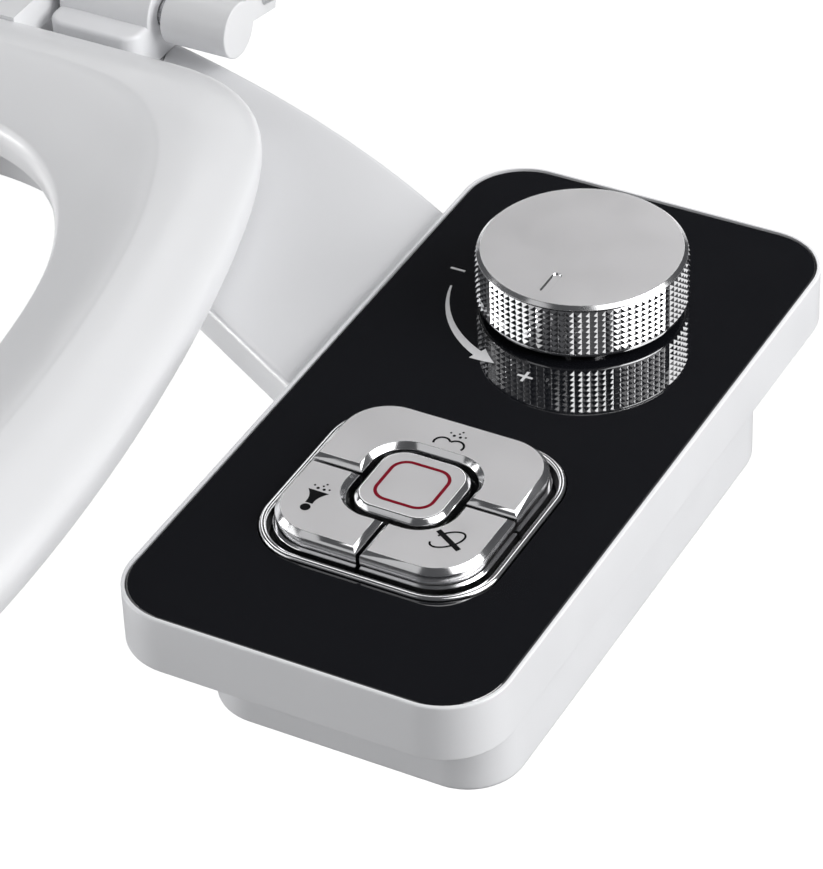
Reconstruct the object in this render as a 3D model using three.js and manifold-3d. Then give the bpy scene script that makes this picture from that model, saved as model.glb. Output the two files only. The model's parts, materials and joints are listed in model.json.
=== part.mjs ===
// A bidet seat: a hinged ring and lid over a thin base plate, with a control panel at the side.
//
// Millimetres, +Z up. The origin is on the base plate's underside, midway between the two seat bolts.
// +X runs along the arm to the control panel, -Y to the front of the bowl, +Y to the tank.
// The panel's pieces are drawn in the panel's own frame: x and y from the front left corner of its
// glass, and z from the glass face. The lid is drawn closed and then raised on its hinge.

import * as THREE from "three";
import { ParametricGeometry } from "three/addons/geometries/ParametricGeometry.js";
import { mergeVertices } from "three/addons/utils/BufferGeometryUtils.js";
import Module from "manifold-3d";

// ---------------------------------------------------------------- driving dimensions

const GAP = 0.3; // between two pieces that touch
const CUT = 1; // how far a cutting tool runs past the face that it cuts

const BOLT_X = 70; // half the spacing of the seat bolts
const BOLT_RADIUS = 4;

const BASE_TOP = 10; // thickness of the base plate and its arm
const BASE_FRONT = -50;
const BASE_REAR = 20;
const BASE_WALL = 2.2;
const BASE_EDGE = 2.2; // rounding of the top edge
const COVER_TOP = 1.9; // thickness of the underside cover
const ARM_START = { x: 104, y: -62 }; // where the arm's straight front edge begins
const ARM_END = 190.4; // where the arm meets the panel
const ARM_FRONT_SLOPE = 0.572;
const ARM_REAR = -29.5; // rear corner of the arm's end
const DISC_RADIUS = 15;

const HINGE_Y = 8;
const HINGE_Z = 23;
const PIN_RADIUS = 4;
const KNUCKLE_RADIUS = 8;
const LID_OPEN_DEGREES = 101;

const RING_BOTTOM = 14.5;
const RING_CREST = 32;
const RING_SKIN = 3;
const LID_RIM = 35; // underside of the closed lid's rim
const LID_TOP = 47;

const PANEL_X = 192;
const PANEL_Y = -204;
const PANEL_Z = 14.5;
const PANEL_WIDTH = 95;
const PANEL_LENGTH = 197;
const PANEL_CORNER = 15.3;
const SHELL_RIM = 1.2; // white edge around the glass
const SHELL_DEPTH = 15;
const SHELL_WALL = 2.4;
const GLASS_THICKNESS = 2;
const PLATE_TOP = -2.3; // the shell's plate under the glass
const PLATE_BOTTOM = -4.5;
const TUB = { x0: 16.6, y0: 11.3, x1: 93.8, y1: 161.5, corner: 17, bottom: -34.5, wall: 2.2 };

const KEYPAD = { x: 47.5, y: 61.2 };
const KEYPAD_SIZE = 54.6;
const KEYPAD_CORNER = 13;
const KEY_SLIT = 1; // between two keys
const KEY_TOP = 5.6;
const KEY_BOTTOM = -1.4;
const STOP_KEY_SIZE = 23.8;
const STOP_KEY_CORNER = 7;
const BEZEL_SIZE = 60.6;
const BEZEL_CORNER = 15.2;
const TRAY_BOTTOM = -6.5;
const STEM_RADIUS = 3;

const KNOB = { x: 47.6, y: 150.2, radius: 26.35, bottom: 1.6, top: 16.5 };
const SPINDLE_RADIUS = 4;
const SPINDLE_TOP = 12;
const CARTRIDGE_RADIUS = 8.5;

const BLOCK = { x0: 26, y0: 38, x1: 72, y1: 158.5, bottom: -32, top: -7 };
const BORE_BOTTOM = -30;
const INLET = { x: 60, z: -24, radius: 7.8, end: 184 };

const HOSE_RADIUS = 2.5;
const HOSE_Z = 5.1;
const HOSE_PITCH = 7;
const HOSE_MIDDLE_Y = -70; // the middle hose where it leaves the valve block

const NOZZLE_Y = -67;
const NOZZLE_SPREAD = 10;
const NOZZLE_BORE = 4.5;
const HOUSING = { half: 28, front: -80, rear: -54, bottom: -58, top: 7.5 };

const CASE_SCREWS = [
  { x: 30, y: 24 },
  { x: 80, y: 24 },
  { x: 30, y: 149 },
  { x: 80, y: 149 },
];

// ---------------------------------------------------------------- materials

const material = (color, roughness, metalness = 0) =>
  new THREE.MeshStandardMaterial({ color, roughness, metalness });

const WHITE_ABS = material(0xe2e3e6, 0.32);
const WHITE_CERAMIC = material(0xf2f1ec, 0.25);
const SEAT_WHITE = material(0xe6e7ea, 0.22);
const BLACK_GLASS = material(0x1e1f23, 0.06);
const BLACK_PLASTIC = material(0x0d0d0f, 0.5);
const SATIN_METAL = material(0xcfced1, 0.3, 1);
const CHROME = material(0xe0e1e4, 0.08, 1);
const STEEL = material(0xb4b6ba, 0.3, 1);
const BRASS = material(0xb89248, 0.3, 1);
const GREY_RUBBER = material(0x8c8f94, 0.8);
const HOSE_PLASTIC = material(0xd6dde2, 0.45);
const BLOCK_PLASTIC = material(0xb9bec4, 0.5);

// ---------------------------------------------------------------- solids

const wasm = await Module();
wasm.setup();

// The closed solid inside a geometry's surface.
function solid(geometry) {
  const bare = geometry.clone();
  bare.deleteAttribute("normal");
  bare.deleteAttribute("uv");
  const merged = mergeVertices(bare, 1e-4);
  const corners = merged.index.array;
  const kept = [];
  for (let i = 0; i < corners.length; i += 3) {
    const [a, b, c] = corners.slice(i, i + 3);
    if (a !== b && b !== c && c !== a) {
      kept.push(a, b, c);
    }
  }
  return new wasm.Manifold(
    new wasm.Mesh({
      numProp: 3,
      vertProperties: new Float32Array(merged.attributes.position.array),
      triVerts: new Uint32Array(kept),
    }),
  );
}

function geometryOf(body) {
  const mesh = body.getMesh();
  const geometry = new THREE.BufferGeometry();
  const points = new Float32Array(mesh.vertProperties);
  const corners = new Uint32Array(mesh.triVerts);
  geometry.setAttribute("position", new THREE.BufferAttribute(points, 3));
  geometry.setIndex(new THREE.BufferAttribute(corners, 1));
  geometry.computeVertexNormals();
  return geometry;
}

const joined = (first, ...others) => others.reduce((sum, other) => sum.add(other), first);
const without = (first, ...tools) => tools.reduce((rest, tool) => rest.subtract(tool), first);

function block(x0, y0, z0, x1, y1, z1) {
  const geometry = new THREE.BoxGeometry(x1 - x0, y1 - y0, z1 - z0);
  geometry.translate((x0 + x1) / 2, (y0 + y1) / 2, (z0 + z1) / 2);
  return solid(geometry);
}

// A cylinder standing on z = bottom at (x, y).
function post(x, y, bottom, top, radius, sides = 16) {
  const geometry = new THREE.CylinderGeometry(radius, radius, top - bottom, sides);
  geometry.rotateX(Math.PI / 2);
  geometry.translate(x, y, (bottom + top) / 2);
  return solid(geometry);
}

// A cylinder along X from x0 to x1.
function rod(x0, x1, y, z, radius, sides = 20) {
  const geometry = new THREE.CylinderGeometry(radius, radius, x1 - x0, sides);
  geometry.rotateZ(Math.PI / 2);
  geometry.translate((x0 + x1) / 2, y, z);
  return solid(geometry);
}

// A cylinder along Y from y0 to y1.
function bar(x, y0, y1, z, radius, sides = 20) {
  const geometry = new THREE.CylinderGeometry(radius, radius, y1 - y0, sides);
  geometry.translate(x, (y0 + y1) / 2, z);
  return solid(geometry);
}

// A solid of revolution about the vertical line through (x, y), from [radius, height] pairs.
function turned(x, y, profile, sides = 24) {
  const geometry = new THREE.LatheGeometry(profile.map(([r, z]) => new THREE.Vector2(r, z)), sides);
  geometry.rotateX(Math.PI / 2);
  geometry.translate(x, y, 0);
  return solid(geometry);
}

// An outline is given as a Shape or as a list of points.
const asShape = (outline) => (outline instanceof THREE.Shape ? outline : new THREE.Shape(outline));

// An upright slab with a plan outline.
function slab(outline, bottom, top, segments = 3) {
  const shape = asShape(outline);
  const geometry = new THREE.ExtrudeGeometry(shape, {
    depth: top - bottom,
    bevelEnabled: false,
    curveSegments: segments,
  });
  geometry.translate(0, 0, bottom);
  return solid(geometry);
}

// A slab whose upper edge is rounded.
function softTop(outline, bottom, top, rounding, segments = 3) {
  const shape = asShape(outline);
  const geometry = new THREE.ExtrudeGeometry(shape, {
    depth: top - bottom,
    bevelThickness: rounding,
    bevelSize: rounding,
    bevelOffset: -rounding,
    bevelSegments: 2,
    curveSegments: segments,
  });
  geometry.translate(0, 0, bottom - rounding);
  return solid(geometry).trimByPlane([0, 0, 1], bottom);
}

// A slab whose lower edge is rounded.
function softBottom(outline, bottom, top, rounding) {
  return softTop(outline, -top, -bottom, rounding).mirror([0, 0, 1]);
}

function roundedBox(x0, y0, x1, y1, corner) {
  const shape = new THREE.Shape();
  shape.absarc(x1 - corner, y0 + corner, corner, -Math.PI / 2, 0);
  shape.absarc(x1 - corner, y1 - corner, corner, 0, Math.PI / 2);
  shape.absarc(x0 + corner, y1 - corner, corner, Math.PI / 2, Math.PI);
  shape.absarc(x0 + corner, y0 + corner, corner, Math.PI, Math.PI * 1.5);
  shape.closePath();
  return shape;
}

// A square with round corners about the middle of the keypad, or about any other point.
function roundedSquare(size, corner, middle = KEYPAD) {
  const half = size / 2;
  return roundedBox(middle.x - half, middle.y - half, middle.x + half, middle.y + half, corner);
}

// The points of a counter-clockwise outline, moved inwards by a distance.
function inset(points, distance) {
  return points.map((point, i) => {
    const before = points[(i + points.length - 1) % points.length];
    const after = points[(i + 1) % points.length];
    const along = after.clone().sub(before).normalize();
    return new THREE.Vector2(point.x - along.y * distance, point.y + along.x * distance);
  });
}

// A tube along a curve, which has no sharp bend.
function tube(curve, radius, steps, sides) {
  const corners = Array.from({ length: sides }, (_, i) => {
    const angle = (i / sides) * Math.PI * 2;
    return new THREE.Vector2(radius * Math.cos(angle), radius * Math.sin(angle));
  });
  const section = new THREE.Shape(corners);
  return solid(new THREE.ExtrudeGeometry(section, { extrudePath: curve, steps, bevelEnabled: false }));
}

// A compression spring standing at (x, y) from bottom to top.
class Helix extends THREE.Curve {
  constructor(x, y, bottom, top, radius, turns) {
    super();
    Object.assign(this, { x, y, bottom, top, radius, turns });
  }

  getPoint(t, target = new THREE.Vector3()) {
    const angle = t * this.turns * Math.PI * 2;
    return target.set(
      this.x + this.radius * Math.cos(angle),
      this.y + this.radius * Math.sin(angle),
      THREE.MathUtils.lerp(this.bottom, this.top, t),
    );
  }
}

function spring(x, y, bottom, top, radius, wire, turns) {
  const stepsPerTurn = 7;
  const helix = new Helix(x, y, bottom + wire, top - wire, radius, turns);
  return tube(helix, wire, turns * stepsPerTurn, 4);
}

// ---------------------------------------------------------------- the assembly

const seat = new THREE.Group();
const panel = new THREE.Group();
panel.position.set(PANEL_X, PANEL_Y, PANEL_Z);
seat.add(panel);

const raisedLid = new THREE.Group();
raisedLid.position.set(0, HINGE_Y, HINGE_Z);
raisedLid.rotation.x = -THREE.MathUtils.degToRad(LID_OPEN_DEGREES);
seat.add(raisedLid);

function add(group, name, body, look) {
  const mesh = new THREE.Mesh(geometryOf(body), look);
  mesh.name = name;
  group.add(mesh);
}

const SIDES = [
  { name: "left", sign: -1 },
  { name: "right", sign: 1 },
];

// ---------------------------------------------------------------- base plate and arm

// Plan of the plate: round at the left end, and swept forwards into the arm at the right.
function baseOutline() {
  const middle = (BASE_FRONT + BASE_REAR) / 2;
  const endRadius = (BASE_REAR - BASE_FRONT) / 2;
  const shape = new THREE.Shape();
  shape.absarc(-BOLT_X, middle, endRadius, Math.PI / 2, Math.PI * 1.5);
  shape.lineTo(62, BASE_FRONT);
  shape.quadraticCurveTo(84, BASE_FRONT, ARM_START.x, ARM_START.y);
  shape.lineTo(ARM_END, ARM_START.y - (ARM_END - ARM_START.x) * ARM_FRONT_SLOPE);
  shape.lineTo(ARM_END, ARM_REAR);
  shape.bezierCurveTo(160, -11, 120, BASE_REAR - 14, 70, BASE_REAR - 3);
  shape.quadraticCurveTo(52, BASE_REAR, 30, BASE_REAR);
  shape.closePath();
  const points = shape.getPoints(6);
  const distinct = points.filter((point, i) => point.distanceTo(points.at(i - 1)) > 0.01);
  return THREE.ShapeUtils.isClockWise(distinct) ? distinct.reverse() : distinct;
}

const HOSE_WINDOW = { y0: -84, y1: -56, z0: 2.2, z1: 8.2 };

// Two lugs on the arm's end reach into the panel casing.
const LUGS = [
  { y0: -100, y1: -87 },
  { y0: -53, y1: -40 },
];
const LUG_TOP = 7.8;
const LUG_END = 207;
const NECK = { half: 24, rear: -46, z0: 2.4, z1: 7.6 }; // of the nozzle housing, in the plate's front wall

function basePlate() {
  const outline = baseOutline();
  const shell = softTop(outline, 0, BASE_TOP, BASE_EDGE);
  const hollow = slab(inset(outline, BASE_WALL), -CUT, BASE_TOP - BASE_WALL);
  const walls = without(shell, hollow);
  const collars = SIDES.map(({ sign }) =>
    post(sign * BOLT_X, 0, COVER_TOP + GAP, BASE_TOP - CUT, DISC_RADIUS + 2.4),
  );
  const lugs = LUGS.map(({ y0, y1 }) => block(ARM_END - 8, y0, HOSE_WINDOW.z0, LUG_END, y1, LUG_TOP));
  const discHoles = SIDES.map(({ sign }) =>
    post(sign * BOLT_X, 0, -CUT, BASE_TOP + CUT, DISC_RADIUS + 0.4),
  );
  const hoseWindow = block(
    ARM_END - 6, HOSE_WINDOW.y0, HOSE_WINDOW.z0, ARM_END + CUT, HOSE_WINDOW.y1, BASE_TOP - BASE_WALL,
  );
  const neckNotch = block(
    -NECK.half - GAP, BASE_FRONT - CUT, COVER_TOP + GAP, NECK.half + GAP, BASE_FRONT + 4, NECK.z1 + GAP,
  );
  return without(joined(walls, ...collars, ...lugs), ...discHoles, hoseWindow, neckNotch);
}

const SLOT_LENGTH = 24;

// An upright cutter for the slot that a seat bolt slides in.
function boltSlot(x, bottom, top) {
  const half = SLOT_LENGTH / 2;
  const width = BOLT_RADIUS + 0.5;
  return slab(roundedBox(x - width, -half, x + width, half, width - 0.01), bottom, top);
}

function baseCover() {
  const plate = slab(inset(baseOutline(), BASE_WALL + GAP), 0, COVER_TOP);
  return without(plate, ...SIDES.map(({ sign }) => boltSlot(sign * BOLT_X, -CUT, COVER_TOP + CUT)));
}

function adjusterDisc(x) {
  const disc = post(x, 0, COVER_TOP + GAP, BASE_TOP - GAP, DISC_RADIUS);
  return without(disc, boltSlot(x, 0, BASE_TOP + CUT));
}

add(seat, "base_plate", basePlate(), WHITE_ABS);
add(seat, "base_cover", baseCover(), WHITE_ABS);

// ---------------------------------------------------------------- hinges and seat bolts

const POST = { half: 14, front: -9, rear: 17, floor: BASE_TOP + GAP };
const HEAD = { radius: 6.5, bottom: 13, top: 16 };
const BOLT_END = -62;

function hingePost(x) {
  const foot = softTop(
    roundedBox(x - POST.half, POST.front, x + POST.half, POST.rear, 5), POST.floor, HINGE_Z, 1.5,
  );
  const barrel = rod(x - POST.half, x + POST.half, HINGE_Y, HINGE_Z, 9.3);
  const headRoom = block(
    x - HEAD.radius - 0.4, POST.front - CUT, HEAD.bottom - 0.2, x + HEAD.radius + 0.4, 7, HEAD.top + GAP,
  );
  return without(
    joined(foot, barrel),
    headRoom,
    post(x, 0, POST.floor - CUT, HEAD.bottom, BOLT_RADIUS + 0.4),
    rod(x - POST.half - CUT, x + POST.half + CUT, HINGE_Y, HINGE_Z, PIN_RADIUS + GAP),
  );
}

function seatBolt(x) {
  return joined(
    post(x, 0, HEAD.bottom, HEAD.top, HEAD.radius, 6),
    post(x, 0, BOLT_END, HEAD.bottom + 0.5, BOLT_RADIUS, 20),
  );
}

function wingNut(x) {
  const bottom = -46;
  const top = -30;
  const flange = 13;
  const profile = [[0, bottom], [8, bottom], [9.5, top - 6], [flange, top - 4], [flange, top], [0, top]];
  const wings = block(x - 20, -2, bottom, x + 20, 2, top - 7);
  const bore = post(x, 0, bottom - CUT, top + CUT, BOLT_RADIUS + GAP, 20);
  return without(joined(turned(x, 0, profile), wings), bore);
}

const PIN = { inner: 33, outer: 103.7 };

for (const { name, sign } of SIDES) {
  const x = sign * BOLT_X;
  const ends = [sign * PIN.inner, sign * PIN.outer].sort((a, b) => a - b);
  add(seat, `adjuster_disc_${name}`, adjusterDisc(x), WHITE_ABS);
  add(seat, `hinge_post_${name}`, hingePost(x), WHITE_ABS);
  add(seat, `hinge_pin_${name}`, rod(...ends, HINGE_Y, HINGE_Z, PIN_RADIUS), STEEL);
  add(seat, `seat_bolt_${name}`, seatBolt(x), STEEL);
  add(seat, `wing_nut_${name}`, wingNut(x), WHITE_ABS);
}

// ---------------------------------------------------------------- seat ring and lid

// A closed outline, symmetric in X, from the pieces of its right half: each is a list of two control
// points and an end point, or an end point alone for a straight stretch. It starts at the rear centre.
function mirroredOutline(start, pieces) {
  const path = new THREE.CurvePath();
  const corner = ([x, y]) => new THREE.Vector2(x, y);
  const flipped = ([x, y]) => new THREE.Vector2(-x, y);
  const left = [];
  let from = start;
  for (const piece of pieces) {
    const to = piece.at(-1);
    if (piece.length === 1) {
      path.add(new THREE.LineCurve(corner(from), corner(to)));
      left.unshift(new THREE.LineCurve(flipped(to), flipped(from)));
    } else {
      path.add(new THREE.CubicBezierCurve(...[from, ...piece].map(corner)));
      left.unshift(new THREE.CubicBezierCurve(...[from, ...piece].reverse().map(flipped)));
    }
    from = to;
  }
  left.forEach((curve) => path.add(curve));
  return path;
}

const ringOutside = mirroredOutline(
  [0, -14.5],
  [
    [[104, -14.5]],
    [[126, -14.5], [137.5, -30], [144, -47]],
    [[157, -81], [175, -155], [175, -225]],
    [[175, -343.7], [96.7, -440], [0, -440]],
  ],
);
const ringInside = mirroredOutline(
  [0, -59],
  [
    [[58, -59]],
    [[88, -59], [108, -81], [118, -107]],
    [[125, -126], [129, -160], [129, -190]],
    [[129, -294], [71, -378], [0, -378]],
  ],
);

// Section of the ring, as [share of the way from the outer to the inner edge, height].
// The lower side is open, so that the ring is a shell.
const RING_SECTION = [
  [0.015, RING_BOTTOM],
  [0, 19],
  [0.02, 23],
  [0.14, 27.6],
  [0.3, 30.6],
  [0.5, RING_CREST],
  [0.65, 30.8],
  [0.95, 25.2],
  [1, 20],
  [0.985, RING_BOTTOM],
  [0.92, RING_BOTTOM],
  [0.9, 22.5],
  [0.5, RING_CREST - RING_SKIN],
  [0.3, 30.6 - RING_SKIN],
  [0.095, 21.5],
  [0.08, RING_BOTTOM],
];

// A closed band between two outlines, following a section that comes back to its start.
function band(outside, inside, section, steps) {
  const place = (u, v, target) => {
    const turn = Math.round((1 - u) * steps) % steps / steps;
    const corner = Math.round(v * section.length) % section.length;
    const [share, height] = section[corner];
    const point = outside.getPointAt(turn).lerp(inside.getPointAt(turn), share);
    target.set(point.x, point.y, height);
  };
  return solid(new ParametricGeometry(place, steps, section.length));
}

// The ring's and the lid's ears on the hinge pins.
const EAR = { inner: 35, outer: 53 };
const LID_EAR = { inner: 87, outer: 107 };

function knuckle(x0, x1) {
  return rod(x0, x1, HINGE_Y, HINGE_Z, KNUCKLE_RADIUS);
}

function ringWithEars() {
  const loop = band(ringOutside, ringInside, RING_SECTION, 48);
  const ears = SIDES.map(({ sign }) => {
    const [x0, x1] = [sign * EAR.inner, sign * EAR.outer].sort((a, b) => a - b);
    return joined(block(x0, -19, 18, x1, HINGE_Y, 28), knuckle(x0, x1));
  });
  const bore = rod(-PIN.outer, PIN.outer, HINGE_Y, HINGE_Z, PIN_RADIUS + GAP);
  return without(joined(loop, ...ears), bore);
}

const lidOutline = mirroredOutline(
  [0, 15],
  [
    [[78, 15]],
    [[108, 15], [128, -12], [141, -46]],
    [[155, -84], [178, -155], [178, -226]],
    [[178, -346], [98, -444], [0, -444]],
  ],
);
const LID_MIDDLE = new THREE.Vector2(0, -215);

// Section of the lid, as [share of the way from the middle to the edge, height], from the middle of
// the top round the edge to the middle of the underside.
const LID_SECTION = [
  [0, LID_TOP + 3],
  [0.5, LID_TOP + 2],
  [0.8, LID_TOP],
  [0.94, LID_TOP - 2.5],
  [0.99, LID_TOP - 6],
  [1, LID_TOP - 10],
  [0.995, LID_RIM],
  [0.965, LID_RIM],
  [0.95, LID_RIM + 4.5],
  [0.9, LID_RIM + 7.5],
  [0.5, LID_RIM + 10],
  [0, LID_RIM + 11],
];

function lidPlate(steps) {
  const last = LID_SECTION.length - 1;
  const place = (u, v, target) => {
    const turn = Math.round(u * steps) % steps / steps;
    const [share, height] = LID_SECTION[Math.round(v * last)];
    const point = LID_MIDDLE.clone().lerp(lidOutline.getPointAt(turn), share);
    target.set(point.x, point.y, height);
  };
  return solid(new ParametricGeometry(place, steps, last));
}

function lidWithEars() {
  const ears = SIDES.map(({ sign }) => {
    const [x0, x1] = [sign * LID_EAR.inner, sign * LID_EAR.outer].sort((a, b) => a - b);
    const web = block(x0, HINGE_Y - 7.5, HINGE_Z, x1, HINGE_Y, LID_RIM + 8);
    return joined(web, knuckle(x0, x1));
  });
  const reach = PIN.outer + GAP;
  const bore = rod(-reach, reach, HINGE_Y, HINGE_Z, PIN_RADIUS + GAP);
  return without(joined(lidPlate(42), ...ears), bore);
}

// Soft stops: the ring's rest on the bowl, and the lid's on the ring.
const RING_BUMPER = { radius: 8, top: 27 };
const LID_BUMPER = { radius: 5, bottom: RING_CREST + 0.6, top: LID_RIM + 6.5 };

function ringBumper(x, y) {
  const { radius, top } = RING_BUMPER;
  return turned(x, y, [[0, GAP], [radius - 1, GAP], [radius, 1.5], [radius, top], [0, top]], 12);
}

function lidBumper(x, y) {
  return post(x, y, LID_BUMPER.bottom, LID_BUMPER.top, LID_BUMPER.radius, 12);
}

const RING_BUMPERS = {
  ring_bumper_front_left: [-84, -362],
  ring_bumper_front_right: [84, -362],
  ring_bumper_side_left: [-150, -190],
  ring_bumper_side_right: [150, -190],
};
const LID_BUMPERS = { lid_bumper_left: [-78, -372], lid_bumper_right: [78, -372] };

// Sockets in a piece for its bumpers.
const sockets = (places, bottom, { radius, top }) =>
  Object.values(places).map(([x, y]) => post(x, y, bottom, top + GAP, radius + GAP, 12));

add(seat, "seat_ring", without(ringWithEars(), ...sockets(RING_BUMPERS, 0, RING_BUMPER)), SEAT_WHITE);
for (const [name, [x, y]] of Object.entries(RING_BUMPERS)) {
  add(seat, name, ringBumper(x, y), GREY_RUBBER);
}

const fromHinge = (body) => body.translate([0, -HINGE_Y, -HINGE_Z]);
const lid = without(lidWithEars(), ...sockets(LID_BUMPERS, LID_RIM - CUT, LID_BUMPER));
add(raisedLid, "lid", fromHinge(lid), SEAT_WHITE);
for (const [name, [x, y]] of Object.entries(LID_BUMPERS)) {
  add(raisedLid, name, fromHinge(lidBumper(x, y)), GREY_RUBBER);
}

// ---------------------------------------------------------------- panel casing

const panelOutline = (grow) =>
  roundedBox(-grow, -grow, PANEL_WIDTH + grow, PANEL_LENGTH + grow, PANEL_CORNER + grow);

function panelShell() {
  const inside = SHELL_RIM - SHELL_WALL;
  const outer = softBottom(panelOutline(SHELL_RIM), -SHELL_DEPTH, 0.3, 0.8);
  const glassPocket = slab(panelOutline(GAP), PLATE_TOP, CUT);
  const hollow = slab(panelOutline(inside), -SHELL_DEPTH - CUT, PLATE_BOTTOM);
  const toPanelY = (y) => y - PANEL_Y;
  const toPanelZ = (z) => z - PANEL_Z;
  const wallCut = (y0, y1, z1) =>
    block(-SHELL_RIM - CUT, toPanelY(y0), -SHELL_DEPTH - CUT, SHELL_WALL, toPanelY(y1), toPanelZ(z1));
  const lugSlots = LUGS.map(({ y0, y1 }) => wallCut(y0 - GAP, y1 + GAP, LUG_TOP + GAP));
  const bosses = CASE_SCREWS.map(({ x, y }) => post(x, y, PILLAR_TOP + GAP, PLATE_BOTTOM + 0.5, 4));
  const pilots = CASE_SCREWS.map(({ x, y }) => post(x, y, PILLAR_TOP - CUT, -7, 1.8, 12));
  return without(
    joined(without(outer, glassPocket, hollow), ...bosses),
    ...pilots,
    ...lugSlots,
    wallCut(HOSE_WINDOW.y0, HOSE_WINDOW.y1, HOSE_WINDOW.z1),
    slab(roundedSquare(BEZEL_SIZE + 1.4, BEZEL_CORNER + 0.8), PLATE_BOTTOM - CUT, PLATE_TOP + CUT),
    post(KNOB.x, KNOB.y, PLATE_BOTTOM - CUT, PLATE_TOP + CUT, 7),
  );
}

function panelGlass() {
  return without(
    slab(panelOutline(0), -GLASS_THICKNESS, 0),
    slab(roundedSquare(BEZEL_SIZE + 2 * GAP, BEZEL_CORNER + GAP), -GLASS_THICKNESS - CUT, CUT),
    post(KNOB.x, KNOB.y, -GLASS_THICKNESS - CUT, CUT, 6.5),
  );
}

const PILLAR_TOP = -30; // where the lower case's pillars meet the shell's bosses

function lowerCase() {
  const { x0, y0, x1, y1, corner, bottom, wall } = TUB;
  const flangeTop = -SHELL_DEPTH + 2.2;
  const flange = slab(panelOutline(SHELL_RIM - SHELL_WALL - GAP), -SHELL_DEPTH + 0.2, flangeTop);
  const tub = softBottom(roundedBox(x0, y0, x1, y1, corner), bottom, flangeTop, 4);
  const hollow = slab(
    roundedBox(x0 + wall, y0 + wall, x1 - wall, y1 - wall, corner - wall), bottom + wall, flangeTop + CUT,
  );
  const pillars = CASE_SCREWS.map(({ x, y }) => post(x, y, bottom + 1, PILLAR_TOP, 5.2));
  const shankHoles = CASE_SCREWS.map(({ x, y }) => post(x, y, bottom - CUT, PILLAR_TOP + CUT, 2, 12));
  const headHoles = CASE_SCREWS.map(({ x, y }) => post(x, y, bottom - CUT, bottom + 2.3, 3.6, 16));
  return without(
    joined(without(joined(flange, tub), hollow), ...pillars),
    ...shankHoles,
    ...headHoles,
    bar(INLET.x, y1 - 4, y1 + CUT, INLET.z, INLET.radius + GAP),
  );
}

function caseScrew({ x, y }) {
  const head = post(x, y, TUB.bottom + 0.2, TUB.bottom + 2, 3.2, 16);
  return joined(head, post(x, y, TUB.bottom + 1.5, -8, 1.5, 12));
}

add(panel, "panel_shell", panelShell(), WHITE_ABS);
add(panel, "panel_glass", panelGlass(), BLACK_GLASS);
add(panel, "lower_case", lowerCase(), WHITE_ABS);
CASE_SCREWS.forEach((screw, i) => add(panel, `case_screw_${i + 1}`, caseScrew(screw), STEEL));

// ---------------------------------------------------------------- keys

const STEMS = {
  rear: { x: KEYPAD.x, y: KEYPAD.y + 19.5 },
  clean: { x: KEYPAD.x - 15.5, y: KEYPAD.y - 16.5 },
  front: { x: KEYPAD.x + 15.5, y: KEYPAD.y - 16.5 },
  stop: { x: KEYPAD.x, y: KEYPAD.y },
};

// The three outer keys share one rounded square: a half, and two quarters, around the stop key.
function outerKey(x0, y0, x1, y1) {
  const pad = softTop(roundedSquare(KEYPAD_SIZE, KEYPAD_CORNER), KEY_BOTTOM, KEY_TOP, 0.7, 4);
  const opening = slab(
    roundedSquare(STOP_KEY_SIZE + 3.4, STOP_KEY_CORNER + 1.7), KEY_BOTTOM - CUT, KEY_TOP + CUT,
  );
  const share = block(x0, y0, KEY_BOTTOM - CUT, x1, y1, KEY_TOP + CUT);
  return pad.subtract(opening).intersect(share);
}

function keyBodies() {
  const reach = KEYPAD_SIZE;
  const slit = KEY_SLIT / 2;
  const { x, y } = KEYPAD;
  return {
    rear: outerKey(x - reach, y + slit, x + reach, y + reach),
    clean: outerKey(x - reach, y - reach, x - slit, y - slit),
    front: outerKey(x + slit, y - reach, x + reach, y - slit),
    stop: softTop(roundedSquare(STOP_KEY_SIZE, STOP_KEY_CORNER), KEY_BOTTOM, KEY_TOP, 0.9),
  };
}

// A stem under a key, with the poppet that it opens.
function keyStem({ x, y }) {
  const top = KEY_BOTTOM - GAP;
  const profile = [[0, -20], [3.9, -20], [3.9, -16], [STEM_RADIUS, -15], [STEM_RADIUS, top], [0, top]];
  return turned(x, y, profile, 16);
}

function keyBezel() {
  return without(
    slab(roundedSquare(BEZEL_SIZE, BEZEL_CORNER), -GLASS_THICKNESS, 0.9, 4),
    slab(roundedSquare(BEZEL_SIZE - 3.8, BEZEL_CORNER - 1.9), -GLASS_THICKNESS - CUT, CUT, 4),
  );
}

function keyTray() {
  return without(
    slab(roundedSquare(BEZEL_SIZE - 1, BEZEL_CORNER - 0.5), TRAY_BOTTOM, PLATE_TOP),
    slab(roundedSquare(BEZEL_SIZE - 4.6, BEZEL_CORNER - 2.3), TRAY_BOTTOM + 2, PLATE_TOP + CUT),
    ...Object.values(STEMS).map(({ x, y }) => post(x, y, TRAY_BOTTOM - CUT, 0, STEM_RADIUS + 0.4, 16)),
  );
}

add(panel, "key_bezel", keyBezel(), CHROME);
add(panel, "key_tray", keyTray(), BLACK_PLASTIC);
for (const [name, body] of Object.entries(keyBodies())) {
  const { x, y } = STEMS[name];
  add(panel, `${name}_key`, body, SATIN_METAL);
  add(panel, `${name}_key_stem`, keyStem(STEMS[name]), BLACK_PLASTIC);
  add(panel, `${name}_key_spring`, spring(x, y, BORE_BOTTOM + GAP, -20 - GAP, 3.2, 0.4, 4), STEEL);
}

// ---------------------------------------------------------------- valve block, flow valve and inlet

const OUTLETS = [-1, 0, 1].map((step) => HOSE_MIDDLE_Y + step * HOSE_PITCH - PANEL_Y);
const OUTLET_END = 14;

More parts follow.
